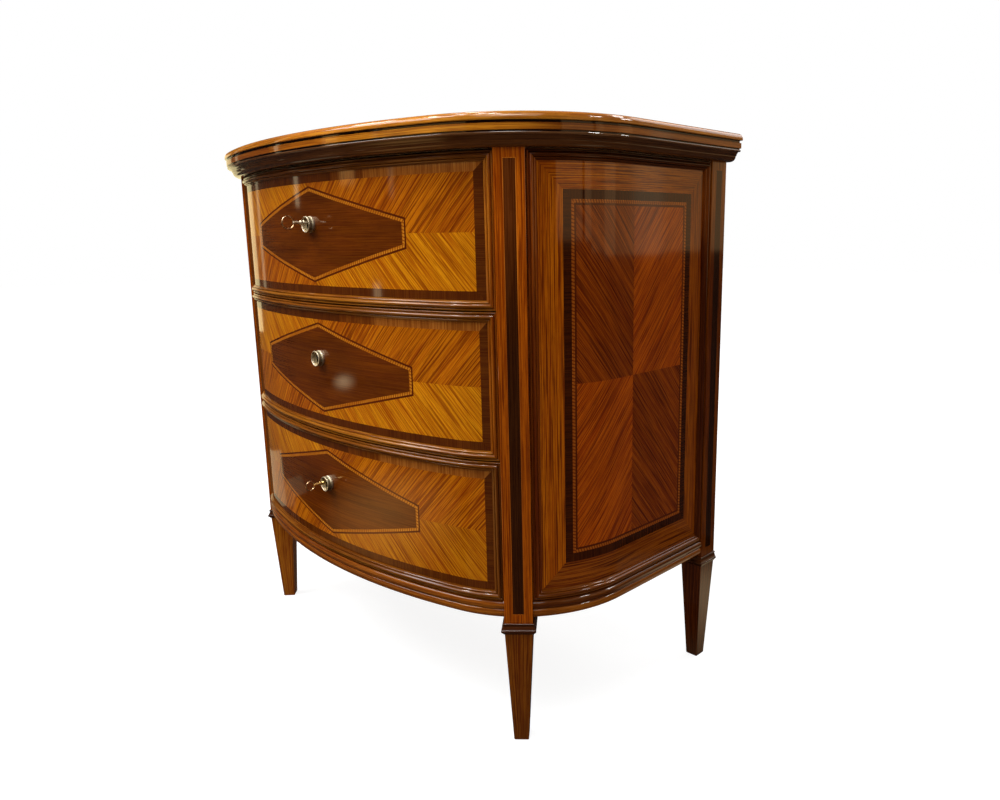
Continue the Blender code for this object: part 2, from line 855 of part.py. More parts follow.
def make_drawer(drawer, index):
    slide = bpy.data.objects.new("drawer_%s_slide" % drawer, None)
    slide.location = (0.0, front_y(0.0, front_face_offset), front_low(index) + front_height / 2)
    chest.objects.link(slide)
    pieces = [make_drawer_front(drawer, index), chest.objects["drawer_%s_frame" % drawer]]
    pieces += [make_drawer_side(drawer, index, word, side) for word, side in (("left", -1), ("right", 1))]
    pieces += [make_drawer_back(drawer, index), make_drawer_bottom(drawer, index)]
    pieces += [make_lock_case(drawer, index), make_escutcheon(drawer, index)]
    for piece in pieces:
        hang(piece, slide)
    height = lock_height_at(index)
    hang(make_bolt(drawer, index), slide, (0.0, bolt_y(), height))
    if drawer in key_sizes:
        hang(make_key(drawer, index), slide, (0.0, front_y(0.0, front_face_offset), height))


def main():
    for thing in list(bpy.data.objects):
        bpy.data.objects.remove(thing)
    for collection in (chest, cutters):
        bpy.context.scene.collection.children.link(collection)
    for name, centre, angle, width in post_axes():
        make_post(name, centre, angle, width)
        make_collar(name, centre, angle, width)
    make_top()
    make_cornice()
    make_sub_top()
    make_base_board()
    make_base_mouldings()
    make_rail("rail_lower", 1)
    make_rail("rail_upper", 2)
    for word, side in (("left", -1), ("right", 1)):
        make_side_panel(word, side)
        make_partition(word, side)
    for index, drawer in enumerate(("bottom", "middle", "top")):
        make_drawer(drawer, index)
    for index, drawer in ((1, "middle"), (2, "top")):
        for word, side in (("left", -1), ("right", 1)):
            make_runner(drawer, index, word, side)
    make_back_panel()


main()
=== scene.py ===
"""Looks of the demilune chest of drawers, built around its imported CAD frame."""
import math

import bmesh
import bpy
from mathutils import Matrix, Vector


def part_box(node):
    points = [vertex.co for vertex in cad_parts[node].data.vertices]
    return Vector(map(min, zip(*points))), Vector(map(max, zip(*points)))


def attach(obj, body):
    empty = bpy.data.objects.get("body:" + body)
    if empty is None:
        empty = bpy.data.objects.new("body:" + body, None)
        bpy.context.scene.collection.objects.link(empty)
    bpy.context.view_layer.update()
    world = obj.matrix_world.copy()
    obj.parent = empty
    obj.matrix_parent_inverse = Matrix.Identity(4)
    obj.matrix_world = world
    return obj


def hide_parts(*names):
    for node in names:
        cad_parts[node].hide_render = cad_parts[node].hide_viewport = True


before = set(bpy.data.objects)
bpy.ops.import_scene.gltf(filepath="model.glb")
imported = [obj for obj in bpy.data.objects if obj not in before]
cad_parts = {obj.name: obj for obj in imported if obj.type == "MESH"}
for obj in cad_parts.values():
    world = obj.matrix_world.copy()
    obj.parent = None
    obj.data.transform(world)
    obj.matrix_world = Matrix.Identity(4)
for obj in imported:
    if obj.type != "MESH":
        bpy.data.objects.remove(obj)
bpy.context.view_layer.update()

# Sizes in metres, as in the CAD source, but for the top's rounded edge and the escutcheons,
# which are drawn more closely here
plan_half_width = 0.435
side_straight = 0.256
corner_radius = 0.211
bow_depth = 0.032
seat_gap = 0.0003
tight_joint = 0.00002
front_gap = 0.0016
post_gap = 0.0012
post_angle = math.radians(42.2)
post_width = 0.0405
post_face_offset = -0.004
rear_post_width = 0.040
rear_post_offset = -0.010
foot_width = 0.022
leg_height = 0.1755
collar_height = 0.0165
collar_reach = 0.0044
base_lift = 0.0035
base_height = 0.0255
base_crest_offset = -0.0095
base_reach = 0.0065
base_inner_offset = -0.036
front_height = 0.2037
front_face_offset = -0.0155
front_thickness = 0.020
frame_width = 0.0135
frame_rise = 0.0063
panel_face_offset = -0.016
panel_thickness = 0.014
panel_frame_margin = 0.001
fascia_offset = 0.015
cornice_back_offset = -0.012
cornice_foot_offset = -0.004
cornice_height = 0.027
ovolo_reach = 0.0098
ovolo_drop = 0.0077
ovolo_fillet = 0.0007
top_thickness = 0.0145
top_offset = 0.0173
top_round_width = 0.013
top_round_height = 0.0102
quirk_offset = 0.0122
quirk_low, quirk_high = 0.8658, 0.8689
groove_depth = 0.004
groove_low_rise = 0.0144
groove_width = 0.0061
lock_rise = 0.018
flange_radius = 0.0128
flange_rise = 0.0096
flange_below = 0.0027
flange_dish_radius = 0.0107
flange_dish = 0.0040
barrel_radius = 0.0082
keyhole_radius = 0.0029
keyhole_slot_width = 0.0032
keyhole_slot_drop = 0.0088
key_bow_top_radius = 0.0104
key_bow_bottom_radius = 0.0083
key_top_reach = 0.0371
key_bottom_reach = 0.034
key_wire_radius = 0.0010
key_stem_radius = 0.0021
key_collar_radius = 0.0034
key_collar_stand = 0.0105
key_collar_length = 0.0075
key_bit_drop = 0.0072
key_bit_width = 0.0020
key_bit_depth = 0.0042

# Places less than a hair apart are the same place
hair = 1e-6
quarter_turn = math.pi / 2
smooth_angle = math.radians(35)
bow_step, corner_step, straight_step = 0.022, 0.009, 0.064

back_y = (side_straight + corner_radius + bow_depth + front_face_offset + key_bow_top_radius
          + key_top_reach) / 2
corner_x = plan_half_width - corner_radius
corner_y = back_y - side_straight
front_span = corner_radius + bow_depth
front_radius = (corner_x ** 2 + front_span ** 2 - corner_radius ** 2) / (2 * bow_depth)
front_centre_y = back_y - side_straight - front_span + front_radius
front_sweep = math.atan2(corner_x, front_radius - front_span)
front_run = front_radius * front_sweep
corner_run = corner_radius * (quarter_turn - front_sweep)
whole_run = front_run + corner_run + side_straight
collar_top = leg_height + collar_height
base_bottom = collar_top + base_lift
base_top = base_bottom + base_height
pitch = front_height + front_gap
carcase_top = base_top + 3 * pitch + front_gap
cornice_top = carcase_top + cornice_height
total_height = cornice_top + top_thickness
front_back_offset = front_face_offset - front_thickness
lock_face_y = front_centre_y - front_radius - front_face_offset

# Marquetry, in metres. A place is a run along the plan line or a height above the floor.
crossband_width = 0.012
crossband_spare = {"bottom": 0.0, "middle": 0.001, "top": 0.0032}
crossband_joints = (0.062, 0.137)
lozenge_half_width = 0.2155
lozenge_half_height = 0.0718
lozenge_end_height = 0.021
dark_line_width = 0.0029
stringing_width = 0.0043
lozenge_insets = (0.0, dark_line_width, dark_line_width + stringing_width)
side_band_start, side_band_end = 0.4565, 0.728
side_band_low, side_band_high = 0.2735, 0.7885
side_band_width = 0.0126
side_stringing_width = 0.0046
side_line_width = 0.0030
side_insets = (0.0, side_band_width, side_band_width + side_stringing_width,
               side_band_width + side_stringing_width + side_line_width)
side_seam_run, side_seam_height = 0.590, 0.531
fascia_joints = (-0.055, 0.100)
fascia_finishes = ("fascia_deep_wood", "fascia_mid_wood", "fascia_wood")
# Between these x the fascia and the top's edge darken on the right side: painted shade
fascia_shade = (0.384, 0.434)
inlay_half_width = 0.0078
inlay_line_width = 0.0009
inlay_low, inlay_high = 0.205, 0.8265
top_border_inset = 0.034
top_band_width = 0.012
top_stringing_width = 0.0042
top_line_width = 0.0015


# The plan line

def plan_angle(run):
    """How far the plan line has turned at a run. Runs start in the middle of the front."""
    way = abs(run)
    if way < front_run:
        angle = way / front_radius
    else:
        angle = min(front_sweep + (way - front_run) / corner_radius, quarter_turn)
    return math.copysign(angle, run)


def plan_point(run, offset):
    """The point at a run along the reference line, moved out by an offset."""
    side = -1 if run < 0 else 1
    way = abs(run)
    angle = abs(plan_angle(run))
    if way < front_run:
        x = (front_radius + offset) * math.sin(angle)
        y = front_centre_y - (front_radius + offset) * math.cos(angle)
    elif way < front_run + corner_run:
        x = corner_x + (corner_radius + offset) * math.sin(angle)
        y = corner_y - (corner_radius + offset) * math.cos(angle)
    else:
        x = plan_half_width + offset
        y = corner_y + way - front_run - corner_run
    return side * x, y


def outward(run):
    """The way that the face looks at a run."""
    angle = plan_angle(run)
    return Vector((math.sin(angle), -math.cos(angle), 0.0))


def run_beside_post(offset, way, gap):
    """The run at a gap from a front post, on its side panel's side (1) or its drawers' side (-1)."""
    half = post_width / 2 + gap
    angle = post_angle + way * math.asin(half / (corner_radius + offset))
    return front_run + (angle - front_sweep) * corner_radius


def front_stretch(offset, gap):
    end = run_beside_post(offset, -1, gap)
    return -end, end


def side_stretch(offset, gap):
    return run_beside_post(offset, 1, gap), whole_run - rear_post_width - gap


def stations(start, end, extra=()):
    """Runs close enough together that the curve looks smooth, with the extra ones among them."""
    marks = sorted(set([start, end] + [run for run in extra if start < run < end]
                       + [run for edge in (front_run, front_run + corner_run)
                          for run in (edge, -edge) if start < run < end]))
    runs = [start]
    for near, far in zip(marks, marks[1:]):
        middle = abs(near + far) / 2
        if middle < front_run:
            step = bow_step
        elif middle < front_run + corner_run:
            step = corner_step
        else:
            step = straight_step
        count = max(1, math.ceil((far - near) / step - hair))
        runs += [near + (far - near) * index / count for index in range(1, count + 1)]
    return runs


def spot(stretch, gap, face_offset, run, offset):
    """Where a run on the face lies at another offset, so that both ends stay parallel to the posts."""
    start, end = stretch(face_offset, gap)
    low, high = stretch(offset, gap)
    return plan_point(low + (high - low) * (run - start) / (end - start), offset)


def curve_through(points, steps):
    """A smooth line through points."""
    padded = [points[0]] + list(points) + [points[-1]]
    line = []
    for a, b, c, d in zip(padded, padded[1:], padded[2:], padded[3:]):
        for index in range(steps):
            t = index / steps
            line.append(tuple(0.5 * (2 * q + (r - p) * t + (2 * p - 5 * q + 4 * r - s) * t ** 2
                                     + (3 * q - p - 3 * r + s) * t ** 3)
                              for p, q, r, s in zip(a, b, c, d)))
    return line + [tuple(points[-1])]


def arc(centre, width, height, start, end, steps):
    """Points of an ellipse between two angles."""
    angles = [start + (end - start) * index / steps for index in range(steps + 1)]
    return [(centre[0] + width * math.cos(a), centre[1] + height * math.sin(a)) for a in angles]


# Building meshes

finishes = {}


def link_object(name, data):
    thing = bpy.data.objects.new(name, data)
    bpy.context.scene.collection.objects.link(thing)
    return thing


class Shape:
    """Points, faces, and for each face its grain coordinates, finish and normals."""

    def __init__(self, side=1):
        self.side = side
        self.points, self.faces, self.grain, self.finish, self.normals = [], [], [], [], []

    def point(self, place):
        self.points.append((self.side * place[0], place[1], place[2]))
        return len(self.points) - 1

    def face(self, corners, grain, finish, normals=None):
        """Add a face. On a mirrored shape it is turned round, so that it still looks outward."""
        corners, grain = list(corners), list(grain)
        if self.side < 0:
            corners.reverse()
            grain.reverse()
            normals = [Vector((-n.x, n.y, n.z)) for n in reversed(normals)] if normals else None
        self.faces.append(corners)
        self.grain.append(grain)
        self.finish.append(finish)
        self.normals.append(normals)

    def loft(self, rings, finish, closed=False, caps=True, across=False, flip=False):
        """Quads between rings of as many points each, and a cap on each end unless it is closed.

        finish is a name, or gives one for a place. caps may be the name of the caps' own finish.
        """
        finish_at = finish if callable(finish) else lambda i, j: finish
        rows = [[self.point(p) for p in ring] for ring in rings]
        count = len(rings[0])
        lengths = [0.0]
        for near, far in zip(rings, rings[1:] + rings[:1]):
            lengths.append(lengths[-1] + (Vector(near[count // 2]) - Vector(far[count // 2])).length)
        girths = [0.0]
        widest = max(rings, key=lambda ring: sum((Vector(a) - Vector(b)).length
                                                 for a, b in zip(ring, ring[1:])))
        for near, far in zip(widest, widest[1:] + widest[:1]):
            girths.append(girths[-1] + (Vector(near) - Vector(far)).length)
        last = len(rows) if closed else len(rows) - 1
        for i in range(last):
            near, far = rows[i], rows[(i + 1) % len(rows)]
            for j in range(count):
                k = (j + 1) % count
                corners = [near[j], near[k], far[k], far[j]]
                grain = [(lengths[i], girths[j]), (lengths[i], girths[j + 1]),
                         (lengths[i + 1], girths[j + 1]), (lengths[i + 1], girths[j])]
                if across:
                    grain = [(v, u) for u, v in grain]
                if flip:
                    corners.reverse()
                    grain.reverse()
                self.face(corners, grain, finish_at(i, j))
        if caps and not closed:
            cap_finish = caps if isinstance(caps, str) else finish_at(0, 0)
            for row, turned in ((rows[0], not flip), (rows[-1], flip)):
                corners = row[::-1] if turned else row
                spots = [Vector(self.points[index]) for index in corners]
                heights = [p.z for p in spots]
                level = max(heights) - min(heights) < seat_gap
                grain = [(p.x, p.y) if level else (p.x + p.y, p.z) for p in spots]
                self.face(corners, grain, cap_finish)
        return rows

    def build(self, name, body, slot, *nodes):
        """Make the piece, ride it on its body and let it stand for CAD nodes."""
        mesh = bpy.data.meshes.new(name)
        mesh.from_pydata(self.points, [], self.faces)
        used = sorted(set(self.finish))
        for finish in used:
            mesh.materials.append(finishes[finish])
        layer = mesh.uv_layers.new(name="grain")
        for polygon, grain, finish in zip(mesh.polygons, self.grain, self.finish):
            polygon.material_index = used.index(finish)
            for loop, place in zip(polygon.loop_indices, grain):
                layer.data[loop].uv = place
        mesh.shade_smooth()
        if any(self.normals):
            normals = []
            for polygon, given in zip(mesh.polygons, self.normals):
                normals += given if given else [polygon.normal.copy()] * polygon.loop_total
            mesh.normals_split_custom_set(normals)
        else:
            bm = bmesh.new()
            bm.from_mesh(mesh)
            bmesh.ops.remove_doubles(bm, verts=bm.verts, dist=hair)
            bm.to_mesh(mesh)
            bm.free()
            mesh.set_sharp_from_angle(angle=smooth_angle)
        piece = link_object(name, mesh)
        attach(piece, body)
        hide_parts(*nodes)


def grid(columns, rows):
    """A flat sheet of cells, whose x is the run and whose y is the height."""
    bm = bmesh.new()
    corners = [[bm.verts.new((run, height, 0.0)) for height in rows] for run in columns]
    for near, far in zip(corners, corners[1:]):
        for index in range(len(rows) - 1):
            bm.faces.new((near[index], far[index], far[index + 1], near[index + 1]))
    return bm


def slit(bm, faces, place, way):
    """Cut some faces of a sheet along the line that goes this way through a place."""
    lines = {edge for face in faces for edge in face.edges}
    corners = {corner for face in faces for corner in face.verts}
    bmesh.ops.bisect_plane(bm, geom=faces + list(lines) + list(corners), dist=hair,
                           plane_co=(place.x, place.y, 0.0), plane_no=(-way.y, way.x, 0.0))


def cut(bm, start, end, spare=0.0):
    """Cut the sheet along a line, only in the faces that lie beside it."""
    a, b = Vector(start), Vector(end)
    low = [min(a[k], b[k]) - spare for k in (0, 1)]
    high = [max(a[k], b[k]) + spare for k in (0, 1)]
    faces = []
    for face in bm.faces:
        middle = face.calc_center_median()
        if low[0] < middle.x < high[0] and low[1] < middle.y < high[1]:
            faces.append(face)
    slit(bm, faces, a, b - a)


def cut_near(bm, centre, reach, touch, way):
    """Cut the faces within reach of a centre along the line that goes this way past it."""
    faces = [face for face in bm.faces if (face.calc_center_median().xy - centre).length < reach]
    slit(bm, faces, touch, way)


def inlaid_board(shape, bm, stretch, gap, face_offset, low, high, zone, rest, hole=None):
    """A board whose face is a cut sheet of veneers, on a core with the profile rest behind it.

    zone gives the finish and the grain at a run and a height. hole is a centre and a radius.
    """
    if hole:
        centre, radius = hole
        inside = [face for face in bm.faces
                  if (face.calc_center_median().xy - centre).length < radius]
        bmesh.ops.delete(bm, geom=inside, context="FACES")

    def place(run, offset, height):
        return (*spot(stretch, gap, face_offset, run, offset), height)

    index_of = {v: shape.point(place(v.co.x, face_offset, v.co.y)) for v in bm.verts}
    for face in bm.faces:
        middle = face.calc_center_median()
        finish, grain = zone(middle.x, middle.y)
        corners = list(face.verts)
        shape.face([index_of[v] for v in corners], [grain(v.co.x, v.co.y) for v in corners],
                   finish, [outward(v.co.x) for v in corners])
    profile = [(face_offset, high)] + rest + [(face_offset, low)]
    runs = sorted({round(v.co.x, 7) for v in bm.verts if abs(v.co.y - low) < hair})
    rows = [[shape.point(place(run, offset, height)) for offset, height in profile] for run in runs]
    for near, far, start, end in zip(rows, rows[1:], runs, runs[1:]):
        for index in range(len(profile) - 1):
            corners = [near[index], far[index], far[index + 1], near[index + 1]]
            first, second = profile[index], profile[index + 1]
            across = math.dist(first, second)
            grain = [(start, 0.0), (end, 0.0), (end, across), (start, across)]
            normals = None
            if abs(first[0] - second[0]) < hair:
                normals = [-outward(start), -outward(end), -outward(end), -outward(start)]
            at_edge = index in (0, len(profile) - 2)
            shape.face(corners, grain, "veneer_edge" if at_edge else "drawer_core", normals)
    for rows_end, run, turned in ((rows[0], runs[0], False), (rows[-1], runs[-1], True)):
        rim = sorted([v for v in bm.verts if abs(v.co.x - run) < hair], key=lambda v: v.co.y)
        corners = [index_of[v] for v in rim] + rows_end[1:-1]
        if turned:
            corners = corners[::-1]
        grain = [(shape.points[c][1], shape.points[c][2]) for c in corners]
        shape.face(corners, grain, "drawer_core")
    if hole:
        ring = [edge for edge in bm.edges if edge.is_boundary
                and (edge.verts[0].co.xy - centre).length < 3 * radius]
        bored = {}
        for v in dict.fromkeys(v for edge in ring for v in edge.verts):
            bored[v] = shape.point(place(v.co.x, rest[0][0], v.co.y))
        for edge in ring:
            a, b = edge.verts
            order = [loop.vert for loop in edge.link_faces[0].loops]
            if order[(order.index(a) + 1) % len(order)] is b:
                a, b = b, a
            shape.face([index_of[a], index_of[b], bored[b], bored[a]],
                       [(0.0, 0.0), (0.0, lock_hole_facet), (front_thickness, lock_hole_facet),
                        (front_thickness, 0.0)], "drawer_core")
    bm.free()


# Grain coordinates

def along_runs(run, height):
    return run, height


def along_heights(run, height):
    return height, run


def book_matched(middle_run, middle_height, angle, seed=0.0):
    """Grain that runs out from the middle, mirrored in each quarter."""
    cos, sin = math.cos(angle), math.sin(angle)

    def grain(run, height):
        across, up = abs(run - middle_run), abs(height - middle_height)
        return across * cos + up * sin + seed, up * cos - across * sin + seed
    return grain


def along_line(start, end):
    """Grain that runs along a slanting line."""
    a, b = Vector(start), Vector(end)
    way = (b - a).normalized()

    def grain(run, height):
        place = Vector((run, height)) - a
        return place.dot(way), place.x * way.y - place.y * way.x
    return grain


# Finishes

# Noise cells per metre along and across the grain, and how far the seed moves each noise
sway_figure = (4.0, 9.0, 1.0)
broad_figure = (2.0, 60.0, 1.0)
stripe_figure = (5.0, 430.0, 2.0)
fibre_figure = (22.0, 820.0, 3.0)
streak_figure = (8.0, 520.0, 5.0)
pore_figure = (70.0, 1500.0, 7.0)
cloud_figure = (7.0, 26.0, 3.0)
scratch_figure = (900.0, 900.0, 2600.0)
sway_width = 0.004
board_slant = 0.83
block_slant = 0.35

# Where each noise or wave comes in, and how much of it shows
broad_share, stripe_share, fibre_share = 0.22, 0.40, 0.38
tone_spread = (0.415, 0.585)
streak_spread = (0.52, 0.60)
pore_spread = (0.58, 0.70)
block_spread = (-0.75, -0.05)
tarnish_spread = (0.38, 0.66)
wood_roughness, cloud_roughness, pore_roughness = 0.30, 0.16, 0.12
tarnish_roughness, scratch_roughness = 0.28, 0.10
fibre_relief, pore_relief = 0.35, -0.65
veneer_specular = 0.01
polish_roughness = 0.065
polish_ior = 1.45
pore_depth = 0.0004
pore_strength = 0.25
dent_depth = 0.0002
dent_strength = 0.2


def new_group(name, inputs, outputs):
    """A shader node group, with its input and output nodes."""
    group = bpy.data.node_groups.new(name, "ShaderNodeTree")
    for label, kind, value in inputs:
        socket = group.interface.new_socket(label, in_out="INPUT", socket_type="NodeSocket" + kind)
        if value is not None:
            socket.default_value = value
    for label, kind in outputs:
        group.interface.new_socket(label, in_out="OUTPUT", socket_type="NodeSocket" + kind)
    return group, group.nodes.new("NodeGroupInput"), group.nodes.new("NodeGroupOutput")


class Nodes:
    """Short ways to add and join nodes in one tree. What they return is a socket to go on from."""

    def __init__(self, tree):
        self.tree = tree

    def add(self, kind, settings=None, **inputs):
        """Add a node. This one returns the node, and its inputs' names have _ for spaces."""
        node = self.tree.nodes.new(kind)
        for label, value in (settings or {}).items():
            setattr(node, label, value)
        for label, value in inputs.items():
            self.set(node.inputs[label.replace("_", " ")], value)
        return node

    def set(self, socket, value):
        if isinstance(value, bpy.types.NodeSocket):
            self.tree.links.new(value, socket)
        else:
            socket.default_value = value

    def math(self, operation, first, second=0.0, third=0.0, clamp=False):
        node = self.tree.nodes.new("ShaderNodeMath")
        node.operation = operation
        node.use_clamp = clamp
        for socket, value in zip(node.inputs, (first, second, third)):
            self.set(socket, value)
        return node.outputs[0]

    def own_place(self):
        return self.add("ShaderNodeTexCoord").outputs["Object"]

    def distance(self):
        """Distance from the piece's own middle."""
        node = self.add("ShaderNodeVectorMath", {"operation": "LENGTH"})
        self.set(node.inputs[0], self.own_place())
        return node.outputs["Value"]

    def stretch(self, vector, factors):
        node = self.tree.nodes.new("ShaderNodeVectorMath")
        node.operation = "MULTIPLY"
        self.set(node.inputs[0], vector)
        self.set(node.inputs[1], factors)
        return node.outputs[0]

    def noise(self, vector, detail=2.0, roughness=0.5):
        node = self.add("ShaderNodeTexNoise", None, Vector=vector, Scale=1.0, Detail=detail,
                        Roughness=roughness)
        return node.outputs["Fac"]

    def fit(self, value, low, high, to_low=0.0, to_high=1.0):
        """A soft step from one value to another."""
        node = self.add("ShaderNodeMapRange", {"interpolation_type": "SMOOTHSTEP"}, Value=value,
                        From_Min=low, From_Max=high, To_Min=to_low, To_Max=to_high)
        return node.outputs[0]

    def mix(self, amount, first, second, blend="MIX"):
        node = self.tree.nodes.new("ShaderNodeMix")
        node.data_type = "RGBA"
        node.blend_type = blend
        factor, colour_a, colour_b, result = 0, 6, 7, 2
        self.set(node.inputs[factor], amount)
        self.set(node.inputs[colour_a], first)
        self.set(node.inputs[colour_b], second)
        return node.outputs[result]


def new_material(name):
    material = bpy.data.materials.new(name)
    material.use_nodes = True
    return material, Nodes(material.node_tree), material.node_tree.nodes["Principled BSDF"]


def make_wood_grain():
    """Colour, gloss and relief of a sawn veneer. Place is in metres, x along its grain."""
    group, given, made = new_group("wood_grain", [
        ("Place", "Vector", None), ("Light", "Color", (0.4, 0.15, 0.02, 1)),
        ("Dark", "Color", (0.2, 0.06, 0.01, 1)), ("Streak", "Color", (0.06, 0.015, 0.004, 1)),
        ("Streaks", "Float", 0.5), ("Stripe Width", "Float", 1.0), ("Seed", "Float", 0.0),
        ("Figure", "Float", 0.3), ("Pores", "Float", 0.5)],
        [("Colour", "Color"), ("Roughness", "Float"), ("Height", "Float")])
    n = Nodes(group)
    part = n.add("ShaderNodeSeparateXYZ", None, Vector=given.outputs["Place"])
    along, across = part.outputs["X"], part.outputs["Y"]
    seed = given.outputs["Seed"]
    plain = n.add("ShaderNodeCombineXYZ", None, X=along, Y=across, Z=seed).outputs[0]
    sway = n.noise(n.stretch(plain, sway_figure), 1.0)
    swayed = n.math("MULTIPLY_ADD", sway, sway_width, across)
    narrow = n.math("DIVIDE", swayed, given.outputs["Stripe Width"])
    place = n.add("ShaderNodeCombineXYZ", None, X=along, Y=narrow, Z=seed).outputs[0]
    broad = n.noise(n.stretch(place, broad_figure), 1.5)
    stripes = n.noise(n.stretch(place, stripe_figure), 1.5)
    fibres = n.noise(n.stretch(place, fibre_figure), 1.5, 0.6)
    streaks = n.noise(n.stretch(place, streak_figure), 1.5)
    pores = n.noise(n.stretch(place, pore_figure), 1.0)
    clouds = n.noise(n.stretch(plain, cloud_figure))
    tone = n.math("MULTIPLY", broad, broad_share)
    tone = n.math("MULTIPLY_ADD", stripes, stripe_share, tone)
    tone = n.math("MULTIPLY_ADD", fibres, fibre_share, tone)
    tone = n.fit(tone, *tone_spread)
    colour = n.mix(tone, given.outputs["Dark"], given.outputs["Light"])
    mask = n.math("MULTIPLY", n.fit(streaks, *streak_spread), given.outputs["Streaks"], clamp=True)
    colour = n.mix(mask, colour, given.outputs["Streak"])
    pore = n.math("MULTIPLY", n.fit(pores, *pore_spread), given.outputs["Pores"], clamp=True)
    colour = n.mix(pore, colour, given.outputs["Streak"])
    shade = n.math("MULTIPLY_ADD", n.math("SUBTRACT", clouds, 0.5), given.outputs["Figure"], 1.0)
    shading = n.add("ShaderNodeCombineColor", None, Red=shade, Green=shade, Blue=shade).outputs[0]
    colour = n.mix(1.0, colour, shading, "MULTIPLY")
    rough = n.math("MULTIPLY_ADD", clouds, cloud_roughness, wood_roughness)
    rough = n.math("MULTIPLY_ADD", pore, pore_roughness, rough)
    height = n.math("MULTIPLY_ADD", fibres, fibre_relief, n.math("MULTIPLY", pore, pore_relief))
    for label, value in (("Colour", colour), ("Roughness", rough), ("Height", height)):
        n.set(made.inputs[label], value)
    return group


def make_checker():
    """Light and dark blocks along a stringing, with soft joints."""
    group, given, made = new_group("stringing_blocks", [
        ("Place", "Vector", None), ("Block", "Float", 0.0045)], [("Light", "Float")])
    n = Nodes(group)
    part = n.add("ShaderNodeSeparateXYZ", None, Vector=given.outputs["Place"])
    slant = n.math("MULTIPLY_ADD", part.outputs["Y"], block_slant, part.outputs["X"])
    turns = n.math("MULTIPLY", n.math("DIVIDE", slant, given.outputs["Block"]), math.tau)
    n.set(made.inputs["Light"], n.fit(n.math("SINE", turns), *block_spread))
    return group


def make_painted_light_gain():
    """A wood's colour, with a gain that comes in between two places: painted light or shade."""
    group, given, made = new_group("painted_light_gain", [
        ("Colour", "Color", (0.4, 0.15, 0.02, 1)), ("Gain", "Color", (1.5, 1.8, 2.0, 1)),
        ("Place", "Float", 0.0), ("From", "Float", 0.55), ("To", "Float", 0.75)],
        [("Colour", "Color")])
    n = Nodes(group)
    amount = n.fit(given.outputs["Place"], given.outputs["From"], given.outputs["To"])
    gain = n.mix(amount, (1, 1, 1, 1), given.outputs["Gain"])
    n.set(made.inputs["Colour"], n.mix(1.0, given.outputs["Colour"], gain, "MULTIPLY"))
    return group


wood_grain = make_wood_grain()
painted_light_gain = make_painted_light_gain()
stringing_blocks = make_checker()


def grain_place(n, way):
    """Grain coordinates: the piece's own grain map, or along an axis of a plain board."""
    if way == "map":
        return n.add("ShaderNodeUVMap", {"uv_map": "grain"}).outputs["UV"]
    part = n.add("ShaderNodeSeparateXYZ", None, Vector=n.own_place())
    side = "Y" if way == "X" else "X"
    across = n.math("MULTIPLY_ADD", part.outputs["Z"], board_slant, part.outputs[side])
    return n.add("ShaderNodeCombineXYZ", None, X=part.outputs[way], Y=across).outputs[0]


def wood(name, light, dark, streak, streaks=0.5, width=1.0, seed=0.0, figure=0.3, pores=0.4,
         way="map", polish=0.8, blocks=None, shift=None):
    """A veneer or solid wood, by its light, dark and streak colours.

    blocks is the length of the blocks of a stringing. shift paints light or shade onto the wood: an axis,
    a start and an end on it, and the gain of the colour past that end.
    """
    material, n, shader = new_material(name)
    place = grain_place(n, way)
    grain = n.add("ShaderNodeGroup", {"node_tree": wood_grain}, Place=place, Light=(*light, 1),
                  Dark=(*dark, 1), Streak=(*streak, 1), Streaks=streaks, Stripe_Width=width,
                  Seed=seed, Figure=figure, Pores=pores)
    colour = grain.outputs["Colour"]
    if blocks:
        block = n.add("ShaderNodeGroup", {"node_tree": stringing_blocks}, Place=place, Block=blocks)
        colour = n.mix(block.outputs["Light"], (*streak, 1), colour)
    # Painted light or shade: the colour gains past a place along the axis
    if shift:
        axis, start, end, gain = shift
        part = n.add("ShaderNodeSeparateXYZ", None, Vector=n.own_place())
        shifted = n.add("ShaderNodeGroup", {"node_tree": painted_light_gain}, Colour=colour,
                        Gain=(*gain, 1), Place=part.outputs[axis], From=start, To=end)
        colour = shifted.outputs["Colour"]
    n.set(shader.inputs["Base Color"], colour)
    n.set(shader.inputs["Roughness"], grain.outputs["Roughness"])
    shader.inputs["Specular IOR Level"].default_value = veneer_specular
    shader.inputs["Coat Weight"].default_value = polish
    shader.inputs["Coat Roughness"].default_value = polish_roughness
    shader.inputs["Coat IOR"].default_value = polish_ior
    bump = n.add("ShaderNodeBump", None, Strength=pore_strength, Distance=pore_depth,
                 Height=grain.outputs["Height"])
    n.set(shader.inputs["Normal"], bump.outputs["Normal"])
    material.diffuse_color = (*light, 1)
    finishes[name] = material


def metal(name, colour, tarnish, roughness, patches=240.0, amount=0.6):
    """An old metal. patches is their number in a metre, and amount how much their tarnish shows."""
    material, n, shader = new_material(name)
    place = n.own_place()
    spots = n.noise(n.stretch(place, (patches,) * 3), 4.0, 0.6)
    scratches = n.noise(n.stretch(place, scratch_figure))
    mask = n.math("MULTIPLY", n.fit(spots, *tarnish_spread), amount, clamp=True)
    n.set(shader.inputs["Base Color"], n.mix(mask, (*colour, 1), (*tarnish, 1)))
    rough = n.math("MULTIPLY_ADD", mask, tarnish_roughness, roughness)
    rough = n.math("MULTIPLY_ADD", scratches, scratch_roughness, rough)
    n.set(shader.inputs["Roughness"], rough)
    shader.inputs["Metallic"].default_value = 1.0
    bump = n.add("ShaderNodeBump", None, Strength=dent_strength, Distance=dent_depth, Height=spots)
    n.set(shader.inputs["Normal"], bump.outputs["Normal"])
    material.diffuse_color = (*colour, 1)
    finishes[name] = material
